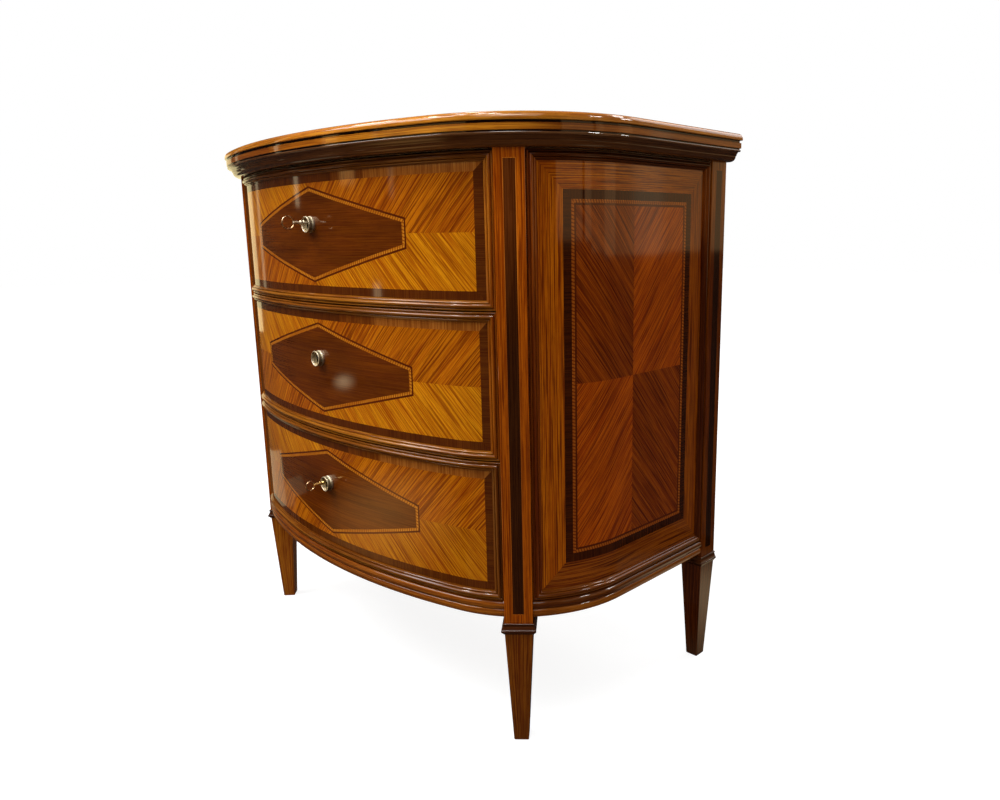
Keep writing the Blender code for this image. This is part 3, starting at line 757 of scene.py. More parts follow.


# Drawer fronts
# The front tulipwood is paler from the bottom drawer's upper part upward: painted light from above
wood("tulipwood_front", (0.485, 0.163, 0.003), (0.30, 0.065, 0.001), (0.133, 0.017, 0.0), 0.65,
     seed=1.0, figure=0.35, shift=("Z", 0.32, 0.42, (1.28, 1.38, 1.1)))
wood("tulipwood_front_deep", (0.50, 0.140, 0.002), (0.29, 0.056, 0.001), (0.11, 0.013, 0.0), 0.7,
     seed=1.5, figure=0.45)

# Side panels
wood("tulipwood_side", (0.45, 0.080, 0.001), (0.22, 0.026, 0.0), (0.070, 0.006, 0.0), 0.65, 0.8,
     2.0, 0.4)
wood("tulipwood_side_dark", (0.27, 0.048, 0.001), (0.12, 0.014, 0.0), (0.045, 0.004, 0.0), 0.65,
     0.8, 2.5, 0.4)
# The side border darkens toward the back: painted shade
wood("side_border_wood", (0.46, 0.110, 0.001), (0.25, 0.041, 0.0), (0.075, 0.008, 0.0), 0.8,
     0.85, 3.0, 0.35, shift=("Y", 0.04, 0.20, (0.70, 0.66, 1.0)))
# A darker copy of the border for its bottom member: painted shade
wood("side_border_low_wood", (0.27, 0.062, 0.003), (0.14, 0.023, 0.001), (0.045, 0.005, 0.0), 0.8,
     0.85, 3.4, 0.35)

# Bands, lines and stringings
wood("rosewood_band", (0.105, 0.025, 0.002), (0.070, 0.013, 0.001), (0.040, 0.006, 0.001), 0.4,
     0.8, 4.0, 0.5)
# Lighter copies of the rosewood band: painted highlight on the upper crossband's right part
wood("rosewood_mid_band", (0.170, 0.042, 0.003), (0.112, 0.022, 0.001), (0.058, 0.009, 0.001), 0.4,
     0.8, 4.2, 0.5)
wood("rosewood_light_band", (0.340, 0.105, 0.013), (0.220, 0.056, 0.005), (0.115, 0.021, 0.001), 0.4,
     0.8, 4.7, 0.5)
wood("side_band_wood", (0.051, 0.009, 0.0), (0.031, 0.004, 0.0), (0.016, 0.003, 0.0), 0.4,
     0.8, 4.5, 0.5)
wood("walnut_lozenge", (0.125, 0.027, 0.001), (0.088, 0.016, 0.001), (0.050, 0.007, 0.0), 0.4,
     0.9, 5.0, 1.2)
wood("light_stringing", (0.56, 0.200, 0.012), (0.40, 0.110, 0.004), (0.22, 0.042, 0.001), 0.1, 1.0,
     6.0, 0.3, 0.2, blocks=0.0048)
wood("side_stringing", (0.38, 0.092, 0.006), (0.27, 0.053, 0.003), (0.13, 0.021, 0.001), 0.1, 1.0,
     6.5, 0.3, 0.2, blocks=0.0048)
# The posts' plain lines are paler toward the top: painted light
wood("light_stringing_plain", (0.40, 0.095, 0.005), (0.28, 0.055, 0.003), (0.12, 0.020, 0.001), 0.1,
     1.0, 26.0, 0.3, 0.2, shift=("Z", 0.54, 0.72, (1.6, 1.9, 2.5)))
wood("dark_line", (0.095, 0.015, 0.001), (0.065, 0.008, 0.0), (0.030, 0.004, 0.0), 0.3, 1.0,
     7.0)
wood("veneer_edge", (0.17, 0.055, 0.012), (0.09, 0.025, 0.005), (0.04, 0.009, 0.002), 0.4, 1.0, 8.0)

# Posts and legs
# The post's veneer and inlay are paler toward the top: painted light
wood("post_veneer", (0.38, 0.078, 0.001), (0.18, 0.027, 0.0), (0.08, 0.008, 0.0), 0.6, 0.9,
     9.0, 0.35, shift=("Z", 0.54, 0.72, (1.5, 1.6, 2.5)))
wood("post_inlay", (0.042, 0.010, 0.001), (0.026, 0.005, 0.0), (0.014, 0.002, 0.0), 0.5, 0.8,
     10.0, 0.4, shift=("Z", 0.57, 0.82, (3.4, 3.4, 4.5)))
# Darker copies for the rear posts: painted shade. The veneer is also paler toward its top: painted light.
wood("rear_post_veneer", (0.17, 0.036, 0.001), (0.085, 0.013, 0.0), (0.04, 0.005, 0.0), 0.6, 0.9,
     9.5, 0.35, shift=("Z", 0.70, 0.82, (1.8, 2.2, 3.0)))
wood("rear_post_inlay", (0.030, 0.007, 0.001), (0.018, 0.003, 0.0), (0.010, 0.002, 0.0), 0.5, 0.8,
     10.5, 0.4)
wood("leg_wood", (0.21, 0.055, 0.003), (0.105, 0.019, 0.001), (0.042, 0.006, 0.0), 0.5, 0.9, 11.0,
     0.35)
# A lighter copy of the leg wood for the left front leg: painted light
wood("left_leg_wood", (0.42, 0.124, 0.008), (0.22, 0.046, 0.003), (0.10, 0.014, 0.001), 0.5, 0.9,
     11.2, 0.35)
# A darker copy of the leg wood for the rear legs: painted shade
wood("rear_leg_wood", (0.11, 0.022, 0.002), (0.05, 0.008, 0.001), (0.025, 0.003, 0.0), 0.5, 0.9,
     11.5, 0.35)

# Mouldings round the drawers and the panels
wood("frame_moulding_wood", (0.31, 0.105, 0.006), (0.16, 0.039, 0.002), (0.07, 0.011, 0.001), 0.5,
     0.9, 12.0, 0.4, polish=0.62)
# Darker copies of the moulding wood: painted shade. The right uprights' copy has painted light toward the
# top.
wood("frame_low_wood", (0.21, 0.066, 0.004), (0.11, 0.025, 0.001), (0.05, 0.008, 0.001), 0.5,
     0.9, 12.4, 0.4, polish=0.62)
wood("frame_top_wood", (0.24, 0.072, 0.005), (0.12, 0.028, 0.001), (0.05, 0.008, 0.001), 0.5,
     0.9, 12.1, 0.4)
wood("frame_upright_wood", (0.30, 0.078, 0.004), (0.16, 0.030, 0.001), (0.06, 0.009, 0.001), 0.5,
     0.9, 12.2, 0.3, shift=("Z", 0.62, 0.80, (1.5, 1.8, 2.5)))
wood("frame_dark_wood", (0.16, 0.046, 0.005), (0.085, 0.020, 0.002), (0.04, 0.007, 0.001), 0.5,
     0.9, 12.3, 0.3)
wood("panel_moulding_wood", (0.20, 0.050, 0.003), (0.10, 0.018, 0.001), (0.04, 0.005, 0.0), 0.4,
     0.9, 12.5, 0.3, polish=0.6)
# The top member and the rear upright are darker copies: painted shade. Both uprights are paler toward the
# top: painted light.
wood("panel_upright_wood", (0.18, 0.036, 0.002), (0.095, 0.013, 0.001), (0.045, 0.005, 0.0), 0.4,
     0.9, 12.7, 0.3, shift=("Z", 0.58, 0.74, (1.65, 1.8, 2.0)))
wood("panel_top_wood", (0.085, 0.017, 0.001), (0.045, 0.007, 0.0), (0.025, 0.003, 0.0), 0.4,
     0.9, 12.6, 0.3)
wood("panel_rear_upright_wood", (0.085, 0.016, 0.001), (0.044, 0.006, 0.0), (0.021, 0.003, 0.0), 0.4,
     0.9, 12.8, 0.3, shift=("Z", 0.66, 0.80, (2.6, 3.0, 4.0)))

# Cornice, top, collars and base
# The fascia darkens past fascia_shade on the right side: painted shade
wood("fascia_wood", (0.52, 0.190, 0.011), (0.27, 0.071, 0.003), (0.14, 0.025, 0.001), 0.4, 0.8,
     13.0, 1.1, shift=("X", *fascia_shade, (0.50, 0.36, 0.50)))
wood("fascia_mid_wood", (0.36, 0.105, 0.005), (0.19, 0.042, 0.002), (0.10, 0.016, 0.001), 0.4, 0.8,
     13.3, 1.0)
wood("fascia_deep_wood", (0.24, 0.062, 0.004), (0.14, 0.028, 0.002), (0.07, 0.011, 0.001), 0.4, 0.8,
     13.6, 1.0)
# The bead's own dark brown, made lighter for the sheen along it: partly painted highlight
wood("dark_bead_wood", (0.160, 0.062, 0.020), (0.090, 0.030, 0.008), (0.040, 0.011, 0.003), 0.4,
     0.9, 14.0)
# Near black for the recessed quirks and hidden faces: painted shade
wood("quirk_wood", (0.034, 0.007, 0.001), (0.022, 0.004, 0.001), (0.012, 0.002, 0.001), 0.4,
     0.9, 14.5)
wood("ovolo_wood", (0.096, 0.029, 0.006), (0.056, 0.014, 0.002), (0.028, 0.006, 0.001), 0.3, 0.9,
     15.0, 0.4)
# The top's edge darkens past fascia_shade on the right side: painted shade
wood("top_edge_wood", (0.54, 0.205, 0.015), (0.32, 0.088, 0.004), (0.14, 0.026, 0.001), 0.4, 0.8,
     16.0, 0.8, shift=("X", *fascia_shade, (0.86, 0.78, 0.8)))
wood("top_field_wood", (0.40, 0.145, 0.022), (0.24, 0.072, 0.009), (0.10, 0.026, 0.005), 0.5, 1.2,
     27.0, 0.4)
wood("collar_wood", (0.070, 0.018, 0.004), (0.040, 0.009, 0.002), (0.022, 0.004, 0.001), 0.4, 0.9,
     17.0)
wood("base_low_wood", (0.30, 0.084, 0.006), (0.15, 0.030, 0.002), (0.06, 0.009, 0.001), 0.45, 0.9,
     18.0, 0.3)
# A darker copy of the base wood for the sides' upper half: painted shade
wood("base_high_wood", (0.14, 0.034, 0.003), (0.07, 0.013, 0.001), (0.03, 0.005, 0.001), 0.4,
     0.9, 19.0, 0.3)

# Inside and back
wood("drawer_core", (0.33, 0.19, 0.095), (0.23, 0.12, 0.055), (0.13, 0.06, 0.026), 0.4, 1.6, 20.0,
     0.3, 0.5, polish=0.1)
for way, seed in (("X", 21.0), ("Y", 22.0)):
    wood("inner_wood_" + way, (0.46, 0.31, 0.165), (0.35, 0.215, 0.105), (0.21, 0.115, 0.05), 0.35,
         1.8, seed, 0.3, 0.5, way=way, polish=0.05)
wood("back_wood", (0.36, 0.22, 0.11), (0.26, 0.145, 0.065), (0.14, 0.07, 0.03), 0.4, 2.2, 24.0, 0.4,
     0.5, way="X", polish=0.05)
wood("back_wood_map", (0.36, 0.22, 0.11), (0.26, 0.145, 0.065), (0.14, 0.07, 0.03), 0.4, 2.2, 28.0,
     0.4, 0.5, polish=0.05)

# Locks and keys
metal("aged_silver", (0.66, 0.56, 0.41), (0.26, 0.20, 0.12), 0.40, 360.0)
metal("aged_plug", (0.36, 0.31, 0.20), (0.17, 0.14, 0.08), 0.46, 360.0)
metal("bronze_wire", (0.62, 0.42, 0.24), (0.28, 0.16, 0.08), 0.18, 280.0)
metal("key_brass", (0.80, 0.56, 0.20), (0.35, 0.21, 0.07), 0.18, 280.0, 0.5)
metal("lock_brass", (0.60, 0.44, 0.20), (0.24, 0.16, 0.08), 0.30, 120.0, 0.7)
metal("bolt_steel", (0.45, 0.44, 0.42), (0.20, 0.17, 0.14), 0.30, 120.0)
# Near black for the keyhole's bore: painted shade
metal("keyhole_dark", (0.05, 0.045, 0.04), (0.02, 0.018, 0.015), 0.5)


# Drawer fronts

drawers = ("bottom", "middle", "top")
lock_hole_sides = 12
lock_hole_facet = 0.003
lock_hole_cut_reach = 0.030
lozenge_cut_spare = 0.012
front_figure_angle = math.radians(47)
front_figure_step = 0.37
walnut_figure_step = 0.9


def lozenge_sides():
    """The start, the end and the outward normal of each side of the walnut lozenge."""
    points = [Vector((across * lozenge_half_width, up)) for across, up in (
        (0, lozenge_half_height), (1, lozenge_end_height), (1, -lozenge_end_height),
        (0, -lozenge_half_height), (-1, -lozenge_end_height), (-1, lozenge_end_height))]
    sides = []
    for a, b in zip(points, points[1:] + points[:1]):
        way = (b - a).normalized()
        sides.append((a, b, Vector((-way.y, way.x))))
    return sides


def front_low(index):
    """Lower edge of a drawer front, counted from the bottom."""
    return base_top + front_gap + index * pitch


def lock_height(index):
    return front_low(index) + front_height / 2 + lock_rise


def make_drawer_front(drawer, index):
    """Four quarters of tulipwood round a walnut lozenge, in a crossband of rosewood."""
    low = front_low(index)
    high = low + front_height
    middle = (low + high) / 2
    start, end = front_stretch(front_face_offset, post_gap)
    reach = front_height / 2
    band = frame_width + crossband_width
    end_band = band + crossband_spare[drawer]
    lock = Vector((0.0, lock_height(index) - flange_below))
    sides = lozenge_sides()
    verticals = [end - end_band, -(end - end_band), 0.0, -end + frame_width, end - frame_width]
    verticals += crossband_joints
    verticals += [side * (lozenge_half_width - inset) for side in (-1, 1) for inset in lozenge_insets]
    rows = [low, low + frame_width, low + band, middle, high - band, high - frame_width, high]
    bm = grid(stations(start, end, verticals), rows)
    for side_x in (-1, 1):
        for side_z in (-1, 1):
            corner = (side_x * end, middle + side_z * reach)
            inner = (side_x * (end - end_band), middle + side_z * (reach - band))
            cut(bm, corner, inner)
    for a, b, normal in sides:
        if a.x == b.x:
            continue
        for inset in lozenge_insets:
            shift = -normal * inset + Vector((0.0, middle))
            cut(bm, a + shift, b + shift, lozenge_cut_spare)
    radius = barrel_radius + seat_gap
    for turn in range(lock_hole_sides):
        angle = math.tau * (turn + 0.5) / lock_hole_sides
        out = Vector((math.cos(angle), math.sin(angle))) * radius
        cut_near(bm, lock, lock_hole_cut_reach, lock + out, Vector((-out.y, out.x)))

    quarter = book_matched(0.0, middle, front_figure_angle, front_figure_step * index)
    lines = [along_line(a, b) for a, b, normal in sides]

    def zone(run, height):
        depths = [(a - Vector((run, height - middle))).dot(normal) for a, b, normal in sides]
        inside = min(depths)
        if inside > lozenge_insets[2]:
            return "walnut_lozenge", lambda r, h: (r + walnut_figure_step * index, h)
        if inside > 0:
            line = lines[depths.index(inside)]
            name = "dark_line" if inside < dark_line_width else "light_stringing"
            return name, lambda r, h: line(r, h - middle)
        inset_run, inset_height = end - abs(run), reach - abs(height - middle)
        if inset_run > end_band and inset_height > band:
            odd = (run > 0) == (height > middle)
            return "tulipwood_front_deep" if odd else "tulipwood_front", quarter
        if inset_run * band < inset_height * end_band:
            return "rosewood_band", along_runs
        # Past its joints the upper crossband takes the lighter copies: painted highlight
        tone = sum(run > joint for joint in crossband_joints) if height > middle else 0
        return ("rosewood_band", "rosewood_mid_band", "rosewood_light_band")[tone], along_heights

    groove_low = low + groove_low_rise
    groove_high = groove_low + groove_width
    groove = front_back_offset + groove_depth
    rest = [(front_back_offset, high), (front_back_offset, groove_high), (groove, groove_high),
            (groove, groove_low), (front_back_offset, groove_low), (front_back_offset, low)]
    shape = Shape()
    inlaid_board(shape, bm, front_stretch, post_gap, front_face_offset, low, high, zone, rest,
                 (lock, radius))
    shape.build("inlaid_front_" + drawer, "drawer_" + drawer, "veneer", "drawer_%s_front" % drawer)


# Mouldings round the fronts and panels, in shares of their width and rise

frame_outline = [(0, 0), (0, 0.30)] + curve_through(
    [(0.01, 0.44), (0.07, 0.60), (0.15, 0.60), (0.22, 0.47)], 3) + [(0.24, 0.38)] + curve_through(
    [(0.26, 0.54), (0.33, 0.85), (0.45, 1), (0.57, 0.90), (0.66, 0.64)], 3) + [(0.69, 0.36)] + \
    curve_through([(0.72, 0.48), (0.79, 0.58), (0.86, 0.48)], 2) + [(0.90, 0.26), (1, 0.18), (1, 0)]


def make_frame(name, body, stretch, gap, margin, low, high, face_offset, side, node, finish_of):
    """Four lengths of moulding mitred round a veneered face, each with a finish of its own."""
    start, end = stretch(face_offset, gap)
    profile = [(margin + frame_width * inset, seat_gap + frame_rise * rise)
               for inset, rise in frame_outline]
    corners = [start + margin + frame_width, end - margin - frame_width]
    runs = stations(start, end, corners)
    sequence = [(run, False) for run in runs] + [(run, True) for run in reversed(runs)]
    rings = []
    for run, at_top in sequence:
        ring = []
        for inset, rise in profile:
            place = min(max(run, start + inset), end - inset)
            x, y = spot(stretch, gap, face_offset, place, face_offset + rise)
            ring.append((x, y, high - inset if at_top else low + inset))
        rings.append(ring)
    bottom, end_upright, start_upright, top = finish_of
    count = len(runs)

    def moulding_finish(i, j):
        if i == count - 1:
            return end_upright
        if i == 2 * count - 1:
            return start_upright
        return bottom if i < count - 1 else top

    shape = Shape(side)
    shape.loft(rings, moulding_finish, closed=True, flip=True)
    shape.build(name, body, "moulding", node)


# Side panels

side_figure_angle = math.radians(50)
side_figure_start = 3.1
# Bottom, rear upright, front upright and top; the last three carry painted shade or painted light
panel_finishes = ("panel_moulding_wood", "panel_rear_upright_wood", "panel_upright_wood",
                  "panel_top_wood")


def make_side_panel(word, side):
    """A panel with a border, a band, a stringing and a line round four quarters of tulipwood."""
    low = base_top + seat_gap
    high = carcase_top - tight_joint
    start, end = side_stretch(panel_face_offset, seat_gap)
    verticals = [side_seam_run] + [side_band_start + inset for inset in side_insets] + [
        side_band_end - inset for inset in side_insets]
    rows = [low, high, side_seam_height] + [side_band_low + inset for inset in side_insets] + [
        side_band_high - inset for inset in side_insets]
    bm = grid(stations(start, end, verticals), sorted(rows))

    def corners(left, right, bottom, top):
        return (left, bottom), (right, bottom), (right, top), (left, top)

    total = side_insets[3]
    outer = corners(start, end, low, high)
    inner = corners(side_band_start, side_band_end, side_band_low, side_band_high)
    core = corners(side_band_start + total, side_band_end - total, side_band_low + total,
                   side_band_high - total)
    for far, near, deep in zip(outer, inner, core):
        cut(bm, far, near)
        cut(bm, near, deep)

    def zone(run, height):
        across = min(run - side_band_start, side_band_end - run)
        up = min(height - side_band_low, side_band_high - height)
        inside = min(across, up)
        level = along_runs if up < across else along_heights
        if inside > total:
            grain = book_matched(side_seam_run, side_seam_height, side_figure_angle,
                                 side_figure_start)
            odd = (run > side_seam_run) != (height > side_seam_height)
            return "tulipwood_side_dark" if odd else "tulipwood_side", grain
        if inside > side_insets[2]:
            return "dark_line", level
        if inside > side_insets[1]:
            return "side_stringing", level
        if inside > 0:
            return "side_band_wood", along_heights if level is along_runs else along_runs
        share_left = (run - start) / (side_band_start - start)
        share_right = (end - run) / (end - side_band_end)
        share_low = (height - low) / (side_band_low - low)
        share_high = (high - height) / (high - side_band_high)
        if min(share_left, share_right) < min(share_low, share_high):
            return "side_border_wood", along_heights
        return "side_border_low_wood" if share_low < share_high else "side_border_wood", along_runs

    inner_offset = panel_face_offset - panel_thickness
    shape = Shape(side)
    inlaid_board(shape, bm, side_stretch, seat_gap, panel_face_offset, low, high, zone,
                 [(inner_offset, high), (inner_offset, low)])
    shape.build("inlaid_panel_" + word, "carcase", "veneer", "side_panel_" + word)
    make_frame("panel_moulding_" + word, "carcase", side_stretch, seat_gap, panel_frame_margin,
               low, high, panel_face_offset, side, "side_frame_" + word, panel_finishes)


# Finishes of a drawer's mouldings: bottom, right, left and top. Beside the moulding's own colour on the
# upper drawers' bottom members, they are darker copies for painted shade, and the upper drawers' right
# uprights have painted light toward the top.
frame_finishes = {
    "bottom": ("frame_low_wood", "frame_dark_wood", "frame_dark_wood", "frame_top_wood"),
    "middle": ("frame_moulding_wood", "frame_upright_wood", "frame_dark_wood", "frame_top_wood"),
    "top": ("frame_moulding_wood", "frame_upright_wood", "frame_dark_wood", "frame_dark_wood")}
for index, drawer in enumerate(drawers):
    make_drawer_front(drawer, index)
    make_frame("drawer_moulding_" + drawer, "drawer_" + drawer, front_stretch, post_gap, 0.0,
               front_low(index), front_low(index) + front_height, front_face_offset, 1,
               "drawer_%s_frame" % drawer, frame_finishes[drawer])
for word, side in (("left", -1), ("right", 1)):
    make_side_panel(word, side)


# Posts, legs and collars

post_bevel = 0.0007
foot_bevel_width, foot_bevel_height = 0.0012, 0.0016
# The left front leg has painted light, and the rear legs have painted shade
post_legs = {"front_left": "left_leg_wood", "front_right": "leg_wood",
             "rear_left": "rear_leg_wood", "rear_right": "rear_leg_wood"}
collar_outline = [(0, 1)] + curve_through(
    [(0.24, 1), (0.38, 0.985), (0.45, 0.94), (0.40, 0.875), (0.24, 0.83), (0.24, 0.79),
     (0.40, 0.66), (0.76, 0.45), (0.92, 0.415), (1, 0.37), (0.99, 0.31), (0.90, 0.23)], 2) + \
    curve_through([(0.80, 0.20), (0.52, 0.13), (0.2, 0)], 2) + [(0, 0)]


def post_axes():
    """Name, centre, turn and width of each post, and the turn of its inlaid face."""
    reach = corner_radius + post_face_offset - post_width / 2
    front_x = corner_x + reach * math.sin(post_angle)
    front_place_y = corner_y - reach * math.cos(post_angle)
    rear_x = plan_half_width + rear_post_offset - rear_post_width / 2
    rear_place_y = back_y - rear_post_width / 2
    axes = []
    for word, side in (("left", -1), ("right", 1)):
        axes.append(("front_" + word, (side * front_x, front_place_y), side * post_angle,
                     post_width, side * post_angle))
        axes.append(("rear_" + word, (side * rear_x, rear_place_y), 0.0, rear_post_width,
                     side * quarter_turn))
    return axes


def make_post(name, centre, width, turn):
    """A post whose face, turned this way, holds a dark inlay between thin light lines."""
    columns = (-inlay_half_width - inlay_line_width, -inlay_half_width, inlay_half_width,
               inlay_half_width + inlay_line_width)
    bevel = post_bevel
    across = Vector((math.cos(turn), math.sin(turn)))
    out = Vector((math.sin(turn), -math.cos(turn)))

    def ring(size, height):
        half = size / 2
        share = size / width
        face = [(-half + bevel, half)] + [(column * share, half) for column in columns] + [
            (half - bevel, half)]
        rest = [(half, half - bevel), (half, -half + bevel), (half - bevel, -half),
                (-half + bevel, -half), (-half, -half + bevel), (-half, half - bevel)]
        return [(*(Vector(centre) + across * a + out * b), height) for a, b in face + rest]

    heights = [0.0, foot_bevel_height, leg_height, inlay_low, inlay_low + inlay_line_width,
               inlay_high - inlay_line_width, inlay_high, carcase_top - tight_joint]
    sizes = [foot_width - foot_bevel_width, foot_width] + [width] * 6
    # Rear posts take the darker copies of the veneer and inlay: painted shade
    rear = "rear_" if name.startswith("rear") else ""

    def finish(i, j):
        """Ring 2 is the top of the leg. The inlay is the middle of the three cells each way."""
        if i < 2:
            return post_legs[name]
        if (i, j) == (4, 2):
            return rear + "post_inlay"
        in_line = i in (3, 4, 5) and j in (1, 2, 3) and not rear
        return "light_stringing_plain" if in_line else rear + "post_veneer"

    shape = Shape()
    shape.loft([ring(size, height) for size, height in zip(sizes, heights)], finish, flip=True)
    shape.build("inlaid_post_" + name, "carcase", "moulding", "post_" + name)


def make_collar(name, centre, angle, width):
    """A flared moulding mitred round a leg, flush with the back on a rear one."""
    turn = Matrix.Rotation(angle, 2)
    all_round = name.startswith("front")
    rings = []
    for across, deep in ((-1, 1), (-1, -1), (1, -1), (1, 1)):
        ring = []
        for out_share, height_share in collar_outline:
            reach = width / 2 + seat_gap + collar_reach * out_share
            depth = width / 2 if deep == 1 and not all_round else reach
            place = turn @ Vector((across * reach, deep * depth))
            ring.append((centre[0] + place.x, centre[1] + place.y,
                         leg_height + collar_height * height_share))
        rings.append(ring)
    shape = Shape()
    shape.loft(rings, "collar_wood", closed=all_round)
    shape.build("leg_collar_" + name, "carcase", "dark_moulding", "collar_" + name)


for name, centre, angle, width, turn in post_axes():
    make_post(name, centre, width, turn)
    make_collar(name, centre, angle, width)


# Top, cornice and base. The cornice's rises are above the top of the fillet over its ovolo.

top_lip_width, top_lip_height = 0.0012, 0.0005
top_lip_round = 0.0003
top_round_power = 0.8
top_round_steps = 14
top_centre_y = 0.020
top_figure_angle = math.radians(38)
top_figure_start = 7.0
cove_start_rise = 0.0004
cove_points = ((0.0066, 0.0), (0.0082, 0.0032), (0.0104, 0.0058))
bead_points = ((0.0118, 0.0055), (0.0134, 0.0059), (0.0143, 0.0071), (0.0140, 0.0083))
low_quirk_rise = 0.0087
fascia_rise = 0.0105
fascia_bevel, fascia_top_bevel = 0.0004, 0.0005
high_quirk_offset = quirk_offset + 0.0003


def outline_runs():
    return stations(-whole_run, whole_run, (0.0, *fascia_joints))


def top_outline(offset, back_inset=0.0):
    """The demilune outline at an offset, with its rear corners moved in."""
    points = []
    for run in outline_runs():
        x, y = plan_point(run, offset)
        points.append((x, y - back_inset if abs(run) == whole_run else y))
    return points


def make_top():
    """A top with a thumb moulding, and a band, a stringing and a line round its four quarters."""
    flat = top_offset - top_round_width
    round_height = total_height - top_round_height
    profile = [(quirk_offset, cornice_top), (quirk_offset, quirk_high),
               (top_offset - top_lip_width, quirk_high),
               (top_offset - top_lip_round, quirk_high + top_lip_height)]
    for step in range(top_round_steps + 1):
        turn = quarter_turn * step / top_round_steps
        profile.append((flat + top_round_width * math.cos(turn) ** top_round_power,
                        round_height + top_round_height * math.sin(turn) ** top_round_power))
    edge_count = len(profile)
    border = flat - top_border_inset
    for width in (0.0, top_band_width, top_stringing_width, top_line_width):
        border -= width
        profile.append((border, total_height))
    border_finishes = ["top_field_wood", "rosewood_band", "light_stringing", "dark_line"]

    def finish(i, j):
        # The quirk under the top is near black: painted shade
        if i < 2:
            return "quirk_wood"
        return "top_edge_wood" if i < edge_count - 1 else border_finishes[i - edge_count + 1]

    rings = []
    for index, (offset, height) in enumerate(profile):
        inset = max(0.0, flat - offset) if index >= edge_count else 0.0
        rings.append([(x, y, height) for x, y in top_outline(offset, inset)])
    shape = Shape()
    rows = shape.loft(rings, finish, caps=False, across=True)
    shape.face(rows[0][::-1], [(x, y) for x, y, z in rings[0]][::-1], "back_wood_map")
    bm = bmesh.new()
    bm.faces.new([bm.verts.new((x, y, 0.0)) for x, y, z in rings[-1]])
    for way in ((0.0, 1.0), (1.0, 0.0)):
        slit(bm, bm.faces[:], Vector((0.0, top_centre_y)), Vector(way))
    grain = book_matched(0.0, top_centre_y, top_figure_angle, top_figure_start)
    index_of = {v: shape.point((v.co.x, v.co.y, total_height)) for v in bm.verts}
    for face in bm.faces:
        turned = list(face.verts) if face.normal.z > 0 else list(face.verts)[::-1]
        shape.face([index_of[v] for v in turned], [grain(v.co.x, v.co.y) for v in turned],
                   "top_field_wood")
    bm.free()
    shape.build("veneered_top", "carcase", "veneer", "top_board")


def make_cornice():
    """An ovolo, a cove and a small bead under a fascia, with a quirk below and above it."""
    high = cornice_top - seat_gap
    ovolo_top = carcase_top + ovolo_drop
    bead_low = ovolo_top + ovolo_fillet
    ovolo = arc((cornice_foot_offset, ovolo_top), ovolo_reach, ovolo_drop, -quarter_turn, 0.0, 8)
    cove = curve_through([(cornice_foot_offset + ovolo_reach, ovolo_top + cove_start_rise)]
                         + [(offset, bead_low + rise) for offset, rise in cove_points], 3)
    bead = curve_through([(offset, bead_low + rise) for offset, rise in bead_points], 3)
    fascia_low = bead_low + fascia_rise
    profile = [(cornice_back_offset, carcase_top)] + ovolo + cove + bead
    bead_start = len(ovolo) + len(cove)
    quirk_start = len(profile) - 1
    profile += [(quirk_offset, bead_low + low_quirk_rise), (quirk_offset, fascia_low),
                (fascia_offset - fascia_bevel, fascia_low)]
    fascia_start = len(profile) - 1
    profile += [(fascia_offset, fascia_low + fascia_bevel),
                (fascia_offset, quirk_low - fascia_top_bevel),
                (fascia_offset - fascia_top_bevel, quirk_low)]
    fascia_end = len(profile) - 1
    profile += [(high_quirk_offset, quirk_low), (high_quirk_offset, high), (cornice_back_offset, high)]
    runs = outline_runs()

    def finish(i, j):
        if j < bead_start:
            return "ovolo_wood"
        if j < quirk_start:
            return "dark_bead_wood"
        # The quirks and the back faces are near black: painted shade
        if not fascia_start <= j < fascia_end:
            return "quirk_wood"
        middle = (runs[i] + runs[min(i + 1, len(runs) - 1)]) / 2
        return fascia_finishes[sum(middle > joint for joint in fascia_joints)]

    rings = [[(*plan_point(run, offset), height) for offset, height in profile] for run in runs]
    shape = Shape()
    shape.loft(rings, finish, caps="ovolo_wood", flip=True)
    shape.build("stepped_cornice", "carcase", "moulding", "cornice_moulding")


base_upper_curve = curve_through([(0.30, 1), (0.78, 0.93), (1, 0.77), (0.74, 0.58)], 3)
base_lower_curve = curve_through([(0.42, 0.53), (0.76, 0.46), (0.82, 0.26), (0.5, 0.07)], 3)


def make_base_moulding(word, stretch, side):
    """A stepped moulding between two posts, whose upper half on the sides is a darker copy: painted
    shade.
    """
    foot_offset = base_crest_offset - base_reach
    profile = [(base_inner_offset, base_top)]
    for reach_share, height_share in base_upper_curve + base_lower_curve + [(0, 0)]:
        profile.append((foot_offset + base_reach * reach_share,
                        base_bottom + base_height * height_share))
    profile.append((base_inner_offset, base_bottom))

    def finish(i, j):
        upper = j <= len(base_upper_curve)
        return "base_high_wood" if upper and word != "front" else "base_low_wood"

    start, end = stretch(front_face_offset, seat_gap)
    rings = [[(*spot(stretch, seat_gap, front_face_offset, run, offset), height)
              for offset, height in profile] for run in stations(start, end)]
    shape = Shape(side)
    shape.loft(rings, finish, caps="base_low_wood")
    shape.build("base_step_" + word, "carcase", "moulding", "base_moulding_" + word)


make_top()
make_cornice()
make_base_moulding("front", front_stretch, 1)
make_base_moulding("left", side_stretch, -1)
make_base_moulding("right", side_stretch, 1)


# Escutcheons and keys

# The flange's outline, in shares of its radius and its rise: a lip, a cove and a base ring
flange_outline = curve_through(
    [(0.836, 0.52), (0.84, 0.72), (0.852, 0.90), (0.882, 1), (0.922, 0.985), (0.95, 0.90), (0.952, 0.78)],
    3) + curve_through([(0.925, 0.66), (0.905, 0.52), (0.915, 0.40), (0.955, 0.33), (0.98, 0.24),
                        (0.975, 0.10)], 3)
cove_start, cove_end = 16, 31
plug_share = 0.97
keyhole_steps = 18
bow_steps, wire_steps, stem_steps = 48, 12, 20

